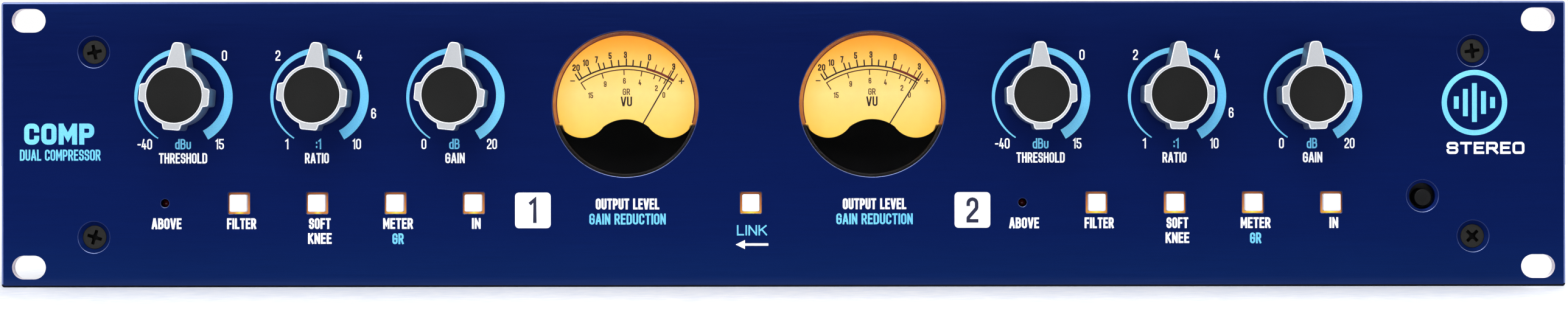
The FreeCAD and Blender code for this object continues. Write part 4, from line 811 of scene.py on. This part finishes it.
BUTTON_SIDE, STEM_SIDE, STEM_END, BUTTON_INNER = 5.3, 3.0, 8.5, -1.5
BUTTON_CROWN = 0.07       # how far the middle of a button's face bulges
LAMP_HEAT = {"filter_button_1": 0.5, "knee_button_1": 0.4, "in_button_1": 0.6}       # the rest are at 1


def button(node):
    at = centre(node)
    face = front_of(node)
    cap = box_outline(at.x, at.z, BUTTON_SIDE, BUTTON_SIDE, 0.5)
    stem = box_outline(at.x, at.z, STEM_SIDE, STEM_SIDE, 0.2)
    rings = [(box_outline(at.x, at.z, side, side, side / 8), face + BUTTON_CROWN * drop)
             for side, drop in ((0.8, 0), (2.6, 0.25), (3.9, 0.6))]
    rings += [(grown(cap, -inset), face + BUTTON_CROWN + depth) for inset, depth in fillet(0.3, 5)]
    rings += [(cap, BUTTON_INNER), (stem, BUTTON_INNER), (stem, STEM_END)]
    shape = Shape()
    shape.solid(rings)
    shape.make(f"{node}_cap", node, [BUTTON_WHITE], "button_white", [node])


def light_guide(node):
    """The lit frame in the gap round a button."""
    at = centre(node)
    shape = Shape()
    outer = box_outline(at.x, at.z, BUTTON_HOLE - 0.1, BUTTON_HOLE - 0.1, BUTTON_CORNER)
    inner = box_outline(at.x, at.z, BUTTON_SIDE + 0.16, BUTTON_SIDE + 0.16, 0.5)
    shape.strip(inner, outer, FRONT + 1.1, FRONT + 2.4, closed=True)
    light = lit_gap(f"{node}_glow", at.x, at.z, LAMP_HEAT.get(node, 1.0))
    shape.make(f"{node}_light_guide", "chassis", [light], "lamp_red")


DOME_RADIUS, FLANGE_RADIUS, LEAD_SIDE = 1.25, 1.45, 0.4


def lamps():
    red = Shape()
    for x in LAMP_X:
        dome = [(DOME_RADIUS * math.sin(a), -2.6 + DOME_RADIUS * (1 - math.cos(a)))
                for a in (math.radians(d) for d in (8, 20, 35, 50, 65, 78, 90))]
        flange = [(DOME_RADIUS, 2.0), (FLANGE_RADIUS, 2.05), (FLANGE_RADIUS, 3.0)]
        red.solid(turned(x, LAMP_Z, dome + flange, 32))
        for side in (-0.6, 0.6):
            lead = box_outline(x + side, LAMP_Z, LEAD_SIDE, LEAD_SIDE, 0.1, 2)
            red.solid([(lead, 2.6), (lead, 12)])
    red.make("panel_lamps", "chassis", [LAMP_RED], "lamp_red", ["indicator_lamps"])
    amber = Shape()
    for node in BUTTON_NODES:
        at = centre(node)
        amber.solid(turned(at.x, at.z - 2.75, ((0.3, 1.0), (0.6, 1.08), (0.8, 1.25), (0.9, 1.6),
                                               (0.9, 4.0)), 24))
    amber.make("button_lamps", "chassis", [LAMP_AMBER], "lamp_red")


def power_button():
    face = front_of("power_button")
    radius = 2.6
    profile = [(0.5, face + 0.12), (1.4, face + 0.12), (1.9, face + 0.04), (2.15, face)]
    profile += [(radius - inset, face + depth) for inset, depth in fillet(0.3, 4)]
    shape = Shape()
    shape.solid(turned(POWER.x, POWER.z, profile + [(radius, 8.0)], 48))
    shape.make("power_button_cap", "power_button", [BUTTON_BLACK], "button_black", ["power_button"])


# ---------------------------------------------------------------- meters

PIVOT_DROP = 15.0
UPPER_ARC, LOWER_ARC = 26.9, 25.8
SCALE_TURN, RED_FROM = 33.4, 13.4       # where the scale ends and its red band starts, in degrees
UPPER_TICKS = ((-33.0, 2.3), (-30.8, 2.5), (-24.2, 2.3), (-17.5, 2.3), (-14.4, 2.0), (-9.4, 2.3), (-4.9, 2.0),
               (0.0, 2.4), (4.3, 2.0), (9.1, 2.0), (13.7, 2.3), (19.0, 2.0), (23.9, 2.0), (28.7, 2.2),
               (33.0, 2.3))
LOWER_TICKS = ((-33.0, 2.5), (-17.2, 1.7), (-1.7, 1.7), (10.8, 1.7), (20.3, 1.5), (24.6, 1.5), (28.4, 1.5),
               (33.0, 2.5))
UPPER_NUMBERS = (("20", -15.6, 11.4), ("10", -12.6, 12.9), ("7", -9.3, 13.9), ("5", -5.05, 15.1),
                 ("3", -0.3, 15.4), ("0", 7.2, 14.6), ("3", 14.7, 11.7))
LOWER_NUMBERS = (("15", -11.1, 2.8), ("9", -6.6, 6.3), ("6", -0.6, 7.3), ("4", 4.2, 6.8), ("2", 9.3, 5.05),
                 ("0", 11.6, 2.9))
MASK_SIDE, MASK_DIP, MASK_WAIST = (20.66, -6.05), (13.1, -10.4), (7.0, -7.0)
MASK_BUMP, MASK_RADIUS, MASK_EDGE, MASK_THICKNESS = -4.64, 21.53, 0.22, 0.8
TAPER = 3              # how far from its tips the mask's rounded edge fades out
LENS_RADIUS, LENS_BORE, LENS_EDGE, LENS_THICKNESS = 22.45, 21.6, 0.7, 1.4
SKIRT_RADIUS, SKIRT_END = 23.7, 1.0
SHADE_LINE_INNER, SHADE_LINE_OUTER, SHADE_LINE_TURN = 21.2, 21.58, 106


def three_point_arc(start, middle, end, steps):
    """Points on the arc through three points, without its last one."""
    (ax, az), (bx, bz), (cx, cz) = start, middle, end
    cross = 2 * (ax * (bz - cz) + bx * (cz - az) + cx * (az - bz))
    a2, b2, c2 = ax * ax + az * az, bx * bx + bz * bz, cx * cx + cz * cz
    ox = (a2 * (bz - cz) + b2 * (cz - az) + c2 * (az - bz)) / cross
    oz = (a2 * (cx - bx) + b2 * (ax - cx) + c2 * (bx - ax)) / cross
    radius = math.hypot(ax - ox, az - oz)
    turns = [math.atan2(pz - oz, px - ox) for px, pz in (start, middle, end)]
    sweep = (turns[2] - turns[0]) % (2 * math.pi)
    if (turns[1] - turns[0]) % (2 * math.pi) > sweep:
        sweep -= 2 * math.pi
    return [(ox + radius * math.cos(turns[0] + sweep * n / steps),
             oz + radius * math.sin(turns[0] + sweep * n / steps)) for n in range(steps)]


def mask_outline(x, z):
    mirror = [(-px, pz) for px, pz in (MASK_SIDE, MASK_DIP, MASK_WAIST)]
    path = three_point_arc(mirror[0], (0, -MASK_RADIUS), MASK_SIDE, 72)
    path += three_point_arc(MASK_SIDE, MASK_DIP, MASK_WAIST, 24)
    path += three_point_arc(MASK_WAIST, (0, MASK_BUMP), mirror[2], 24)
    path += three_point_arc(mirror[2], mirror[1], mirror[0], 24)
    return [(x + px, z + pz) for px, pz in path]


def dial_print(channel, x, z):
    face = front_of(f"meter_dial_{channel}")
    above = z - PIVOT_DROP

    def along(radius, start, end):
        return arc(x, above, radius, start, end, 48)

    def ticks(shape, places, inner, width):
        for angle, length in places:
            outer = inner + length
            spoke = [arc(x, above, r, angle, angle, 1)[0] for r in (inner, outer)]
            shape.stroke(spoke, width, face - INK - 0.002, face + SUNK, square=False)

    dark = Shape()
    dark.stroke(along(UPPER_ARC, -SCALE_TURN, 14), 0.46, face - INK, face + SUNK, square=False)
    ticks(dark, UPPER_TICKS[:11], UPPER_ARC, 0.42)
    for text, dx, dz in UPPER_NUMBERS:
        width = {"20": 2.3, "10": 1.85}.get(text, 0.98)
        write(dark, text, x + dx, z + dz, 2.05, width, 0.39, face)
    write(dark, "-", x - 16.7, z + 7.4, 2.6, 1.5, 0.34, face)
    write(dark, "+", x + 17.1, z + 7.2, 3.3, 1.75, 0.36, face)
    write(dark, "VU", x, z + 0.9, 3.0, 3.5, 0.5, face)
    dark.make(f"dial_print_{channel}", "chassis", [DIAL_INK], "dial_amber")

    pale = Shape()
    pale.stroke(along(LOWER_ARC, -SCALE_TURN, SCALE_TURN), 0.36, face - INK, face + SUNK, square=False)
    ticks(pale, [(a, -length) for a, length in LOWER_TICKS], LOWER_ARC, 0.34)
    for text, dx, dz in LOWER_NUMBERS:
        write(pale, text, x + dx, z + dz, 1.8, 1.55 if text == "15" else 0.88, 0.3, face)
    write(pale, "GR", x, z + 3.9, 2.0, 2.3, 0.3, face)
    pale.make(f"dial_lower_print_{channel}", "chassis", [DIAL_PALE_INK], "dial_amber")

    red = Shape()
    red.strip(along(UPPER_ARC - 0.55, RED_FROM, SCALE_TURN), along(UPPER_ARC + 0.18, RED_FROM, SCALE_TURN),
              face - INK - 0.004, face + SUNK)
    ticks(red, UPPER_TICKS[11:], UPPER_ARC, 0.32)
    red.make(f"dial_band_{channel}", "chassis", [DIAL_RED_INK], "dial_amber")


def meter(channel):
    at = centre(f"meter_lens_{channel}")
    x, z = at.x, at.z
    soften(f"meter_dial_{channel}", 0, lit_dial(f"dial_light_{channel}", x, z, MASK_SIDE[1]))
    dial_print(channel, x, z)

    mask = Shape()
    outline = mask_outline(x, z)
    mask_front = front_of(f"meter_mask_{channel}")
    rings = []
    for inset, depth in fillet(MASK_EDGE, 4):
        rings.append(([tuple(Vector(p).lerp(Vector(q), min(1, (MASK_SIDE[0] - abs(p[0] - x)) / TAPER)))
                       for p, q in zip(outline, grown(outline, -inset))], mask_front + depth))
    mask.solid(rings + [(outline, mask_front + MASK_THICKNESS)])
    mask.make(f"meter_shroud_{channel}", "chassis", [MASK_BLACK], "meter_black", [f"meter_mask_{channel}"])

    face = front_of(f"meter_lens_{channel}")
    back = face + LENS_THICKNESS
    profile = [(radius, face) for radius in (1, 8, 15)]
    profile += [(LENS_RADIUS - inset, face + depth) for inset, depth in fillet(LENS_EDGE, 5)]
    profile += [(LENS_RADIUS, back), (LENS_BORE, back), (8, back)]
    lens = Shape()
    lens.solid(turned(x, z, profile, 144))
    lens.make(f"meter_glass_{channel}", "chassis", [GLASS], "meter_glass", [f"meter_lens_{channel}"])

    skirt = Shape()
    profile = ((LENS_BORE, back + 0.02), (LENS_RADIUS, back + 0.02), (LENS_RADIUS, 0.0), (SKIRT_RADIUS, 0.0),
               (SKIRT_RADIUS, SKIRT_END), (LENS_BORE, SKIRT_END))
    made = skirt.loft(turned(x, z, profile, 144))
    skirt.join(made[-1], made[0])
    skirt.make(f"meter_skirt_{channel}", "chassis", [lit_rim(f"rim_light_{channel}", x, z, MASK_SIDE[1])],
               "dial_amber")

    # a painted shadow line round the lens's inner edge, above the mask
    shade_line = Shape()
    inner, outer = (arc(x, z, radius, -SHADE_LINE_TURN, SHADE_LINE_TURN, 120)
                    for radius in (SHADE_LINE_INNER, SHADE_LINE_OUTER))
    shade_line.strip(inner, outer, back + 0.05, back + 0.4)
    shade_line.make(f"meter_gasket_{channel}", "chassis", [SHADE_LINE], "needle_brown")


# ---------------------------------------------------------------- print on the panel

KNOB_LABELS = {
    "threshold": (("THRESHOLD", 0.5, -19.3, 14.9, "white"), ("dBu", 0.5, -14.95, 4.9, "cyan"),
                  ("-40", -11.3, -14.95, 4.5, "thin"), ("15", 11.8, -14.95, 2.6, "thin"),
                  ("0", 13.3, 12.4, 1.6, "thin")),
    "ratio": (("RATIO", -0.15, -19.3, 7.4, "white"), (":1", 0.35, -14.95, 1.65, "cyan"),
              ("1", -9.45, -14.95, 1.0, "thin"), ("10", 12.15, -14.95, 2.6, "thin"),
              ("2", -12.15, 12.4, 1.5, "thin"), ("4", 13.05, 12.4, 1.6, "thin"),
              ("6", 17.35, -5.5, 1.5, "thin")),
    "gain": (("GAIN", 0.5, -19.3, 6.0, "white"), ("dB", 0.3, -14.95, 3.2, "cyan"),
             ("0", -9.1, -14.95, 1.5, "thin"), ("20", 11.9, -14.95, 3.1, "thin")),
}
BUTTON_LABELS = {
    "filter": (("FILTER", -6.3, 9.0, "bold"),),
    "knee": (("SOFT", -6.3, 6.7, "bold"), ("KNEE", -10.9, 7.3, "bold")),
    "meter": (("METER", -6.3, 9.2, "bold"), ("GR", -11.0, 3.5, "cyan_bold")),
    "in": (("IN", -6.3, 2.7, "bold"),),
}
WEIGHTS = {"white": 0.5, "cyan": 0.46, "thin": 0.42, "bold": 0.6, "cyan_bold": 0.58}
SCALE_SHIFT = (0.65, -0.4)
SCALE_RADIUS, SCALE_THIN, SCALE_GROWTH, SCALE_STEPS = 15.17, 0.4, 2.8, 144
BADGE_Z, BADGE_SIDE = -20.4, 11.0
ARROW_LENGTH, ARROW_HEAD = 10.06, 2.85


def labels(white, cyan):
    """The words and numbers round the knobs, buttons, lamps and meters of both channels."""

    def inked(kind):
        return cyan if kind.startswith("cyan") else white

    for shift in (0, PITCH):
        for name, texts in KNOB_LABELS.items():
            at = centre(f"{name}_shaft_1")
            for text, dx, dz, width, kind in texts:
                write(inked(kind), text, at.x + shift + dx, at.z + dz, 3.2, width, WEIGHTS[kind])
        for name, texts in BUTTON_LABELS.items():
            at = centre(f"{name}_button_1")
            for text, dz, width, kind in texts:
                write(inked(kind), text, at.x + shift + 0.8, at.z + dz, 3.35, width, WEIGHTS[kind])
        write(white, "ABOVE", LAMP_X[0] + shift + 0.5, LAMP_Z - 6.3, 3.35, 9.2, 0.6)
    for channel in CHANNELS:
        at = centre(f"meter_lens_{channel}")
        write(white, "OUTPUT LEVEL", at.x + 0.6, at.z - 30.85, 3.38, 19.6, 0.62)
        write(cyan, "GAIN REDUCTION", at.x + 0.6, at.z - 35.5, 3.38, 23.6, 0.56)


def link_label(white, cyan):
    """The word under the middle button, over an arrow that points to channel 1."""
    at = centre("link_button")
    x, z = at.x + 0.35, at.z - 12.9
    write(cyan, "LINK", x, at.z - 8.5, 3.2, 9.3, 0.46)
    tip = x - ARROW_LENGTH / 2
    white.strip([(tip, z + 0.02), (tip + ARROW_HEAD, z + 1.4)], [(tip, z - 0.02), (tip + ARROW_HEAD, z - 1.4)])
    white.stroke([(tip + ARROW_HEAD - 0.05, z), (tip + ARROW_LENGTH, z)], 0.75, square=False)


def badges(white, dark):
    """Each channel's number on a white square."""
    for digit, x, width in (("1", -77.3, 2.3), ("2", 58.3, 3.7)):
        badge = box_outline(x, BADGE_Z, BADGE_SIDE, BADGE_SIDE, 1.2, 6)
        white.solid([(badge, FRONT - INK), (badge, FRONT + SUNK)])
        write(dark, digit, x, BADGE_Z, 7.8, width, 1.1, FRONT - INK)


def knob_scales(cyan):
    """A band round each knob that widens clockwise."""
    for name in KNOBS:
        for channel in CHANNELS:
            at = centre(f"{name}_shaft_{channel}")
            x, z = at.x + SCALE_SHIFT[0], at.z + SCALE_SHIFT[1]
            outer = arc(x, z, SCALE_RADIUS, -148.4, 150, SCALE_STEPS)
            inner = []
            for n, (px, pz) in enumerate(outer):
                k = 1 - (SCALE_THIN + SCALE_GROWTH * n / SCALE_STEPS) / SCALE_RADIUS
                inner.append((x + (px - x) * k, z + (pz - z) * k))
            cyan.strip(inner, outer)


def panel_print():
    white, cyan, dark = Shape(), Shape(), Shape()
    labels(white, cyan)
    link_label(white, cyan)
    badges(white, dark)
    write(cyan, "COMP", -223.4, 3.3, 6.5, 21.6, 1.55)
    write(cyan, "DUAL COMPRESSOR", -223.1, -3.2, 3.4, 24.9, 0.5)
    emblem(cyan, white)
    knob_scales(cyan)
    white.make("panel_print_white", "chassis", [WHITE_INK])
    cyan.make("panel_print_cyan", "chassis", [CYAN_INK])
    dark.make("badge_digits", "chassis", [DARK_INK])


EMBLEM_X, EMBLEM_Z, EMBLEM_RADIUS = 213.2, 12.6, 9.3
BAR_HEIGHTS = (3.8, 8.4, 12.0, 7.0, 3.4)
BAR_PITCH, BAR_WIDTH = 2.8, 1.5


def emblem(mark, lettering):
    """A plain mark of five level bars in a ring."""
    mark.stroke(circle(EMBLEM_X, EMBLEM_Z, EMBLEM_RADIUS, 96), 1.6, closed=True)
    for n, height in enumerate(BAR_HEIGHTS):
        across = EMBLEM_X + (n - 2) * BAR_PITCH
        bar = [(across, EMBLEM_Z - height / 2), (across, EMBLEM_Z + height / 2)]
        mark.stroke(bar, BAR_WIDTH, square=False)
    write(lettering, "STEREO", EMBLEM_X + 3.4, -1.4, 3.7, 24.0, 0.75)


# ---------------------------------------------------------------- the rear and the case

REAR_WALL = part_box("rear_panel")[1].y / MM
REAR_PITCH = centre("input_latch_2").x - centre("input_latch_1").x


def rear_print():
    shape = Shape()

    def label(text, x, z, height, width, line=0.5):
        write(shape, text, x, z, height, width, line, REAR_WALL, mirrored=True)

    for channel in CHANNELS:
        step = (channel - 1.5) * REAR_PITCH
        label("IN", centre(f"input_latch_{channel}").x, -21.5, 3.6, 2.8)
        label("OUT", centre("audio_outputs").x + step, -21.5, 3.6, 5.6)
        label("LINK", centre("sidechain_jacks").x + step, -21.5, 3.6, 7.6)
        label(f"CHANNEL {channel}", centre("audio_outputs").x - 1.5 + step, 25.5, 4.2, 27.0, 0.6)
    label("MAINS", centre("power_inlet").x, 30.0, 4.0, 13.6, 0.55)
    label("FUSE", centre("fuse_drawer").x, -30.5, 3.6, 9.6)
    shape.make("rear_print", "chassis", [WHITE_INK])


# the CAD nodes that stay visible: how much their edges are rounded, and their finish
CARRIED = {
    "chassis_tray": (0.25, CASE_BLACK), "top_cover": (0.25, CASE_BLACK), "rear_panel": (0.25, CASE_BLACK),
    "case_screws": (0.15, SCREW_BLACK), "audio_inputs": (0.15, NICKEL), "audio_outputs": (0.15, NICKEL),
    "sidechain_jacks": (0.12, NICKEL), "power_inlet": (0.2, CONNECTOR_BLACK),
    "fuse_drawer": (0.2, CONNECTOR_BLACK), "fuse": (0, FUSE_GLASS), "potentiometers": (0.15, NICKEL),
    "push_switches": (0.1, SWITCH_PLASTIC), "control_board": (0, BOARD), "main_board": (0, BOARD),
    "board_standoffs": (0, NICKEL), "board_components": (0.2, COMPONENT), "transformer": (0.3, STEEL),
}


def carried_over():
    for node, (width, finish) in CARRIED.items():
        soften(node, width, finish)
    for channel in CHANNELS:
        soften(f"input_latch_{channel}", 0.15, NICKEL)
        soften(f"meter_housing_{channel}", 0.1, MASK_BLACK)
        soften(f"needle_{channel}", 0, NEEDLE)
        for name in KNOBS:
            soften(f"{name}_shaft_{channel}", 0.1, NICKEL)


# ---------------------------------------------------------------- floor, light and camera

VIEW_WIDTH = 483.73       # how much of the panel's plane the picture spans
CAMERA_AWAY, CAMERA_ACROSS, CAMERA_UP, CAMERA_ROLL = 1100.0, 0.19, -3.22, 0.058
SENSOR = 36.0
FLOOR_REACH = 12000
# each light's place, size and aim in metres, and its power in watts
LIGHTS = {
    "key": ((-0.25, -1.15, 1.25), 1.3, 24, (0, 0, 0)),
    "fill_left": ((-1.5, -0.75, 0.55), 0.8, 5, (0, 0, 0)),
    "fill_right": ((1.5, -0.75, 0.55), 0.8, 5, (0, 0, 0)),
    "rear": ((0.5, 1.6, 1.2), 1.2, 18, (0, 0.2, 0)),
}
SKY_BEHIND_CAMERA, SKY_AHEAD = 0.03, 0.75       # how strongly the surroundings light the object


def floor():
    corners = [Vector((x, y, cad_low.z / MM)) * MM
               for x, y in ((-FLOOR_REACH, -FLOOR_REACH), (FLOOR_REACH, -FLOOR_REACH),
                            (FLOOR_REACH, FLOOR_REACH), (-FLOOR_REACH, FLOOR_REACH))]
    mesh = bpy.data.meshes.new("floor")
    mesh.from_pydata(corners, [], [(0, 1, 2, 3)])
    table = bpy.data.objects.new("floor", mesh)
    bpy.context.scene.collection.objects.link(table)
    finish = Finish("floor_white", 0.5, Specular_IOR_Level=0.3, Emission_Strength=1.0)
    finish.feed("Base Color", finish.ramp(finish.noise(220, detail=4.0), (0.35, (236, 240, 250)),
                                          (0.65, (250, 251, 255))))
    place = finish.node("ShaderNodeSeparateXYZ", {0: finish.place})
    finish.feed("Emission Color", finish.ramp(finish.level(place.outputs["Y"], 0.5, 1.5), (0.0, (0, 0, 0)),
                                              (1.0, (250, 252, 255))))
    mesh.materials.append(finish.material)


def lights():
    for name, (place, size, power, aim) in LIGHTS.items():
        light = bpy.data.lights.new(name, "AREA")
        light.shape = "SQUARE"
        light.size = size
        light.energy = power
        lamp = bpy.data.objects.new(name, light)
        lamp.location = place
        lamp.rotation_euler = (Vector(aim) - Vector(place)).to_track_quat("-Z", "Y").to_euler()
        bpy.context.scene.collection.objects.link(lamp)


def sky():
    """Even white surroundings that light the object less from the camera's side."""
    world = bpy.data.worlds.new("studio")
    bpy.context.scene.world = world
    world.use_nodes = True
    tree = world.node_tree
    background = tree.nodes["Background"]
    way = tree.nodes.new("ShaderNodeTexCoord")
    parts = tree.nodes.new("ShaderNodeSeparateXYZ")
    tree.links.new(way.outputs["Generated"], parts.inputs[0])
    band = tree.nodes.new("ShaderNodeMapRange")
    for socket, value in (("From Min", -1.0), ("From Max", 0.0), ("To Min", SKY_BEHIND_CAMERA),
                          ("To Max", SKY_AHEAD)):
        band.inputs[socket].default_value = value
    tree.links.new(parts.outputs["Y"], band.inputs["Value"])
    rays = tree.nodes.new("ShaderNodeLightPath")
    choice = tree.nodes.new("ShaderNodeMix")
    choice.data_type = "FLOAT"
    tree.links.new(rays.outputs["Is Camera Ray"], choice.inputs["Factor"])
    tree.links.new(band.outputs["Result"], choice.inputs["A"])
    choice.inputs["B"].default_value = 1.0
    background.inputs["Color"].default_value = (1.0, 1.0, 1.0, 1.0)
    tree.links.new(choice.outputs["Result"], background.inputs["Strength"])


def camera():
    eye = bpy.data.cameras.new("camera")
    eye.sensor_width = SENSOR
    eye.lens = SENSOR * CAMERA_AWAY / VIEW_WIDTH
    eye.clip_start, eye.clip_end = 0.01, 50
    seen = bpy.data.objects.new("camera", eye)
    seen.location = Vector((CAMERA_ACROSS, FRONT - CAMERA_AWAY, CAMERA_UP)) * MM
    seen.rotation_euler = (math.radians(90), math.radians(CAMERA_ROLL), 0)
    bpy.context.scene.collection.objects.link(seen)
    bpy.context.scene.camera = seen
    bpy.context.scene.view_settings.view_transform = "Standard"


panel()
panel_screws()
for channel in CHANNELS:
    for name in KNOBS:
        knob(name, channel)
    meter(channel)
for node in BUTTON_NODES:
    button(node)
    light_guide(node)
lamps()
power_button()
panel_print()
carried_over()
rear_print()
floor()
lights()
sky()
camera()
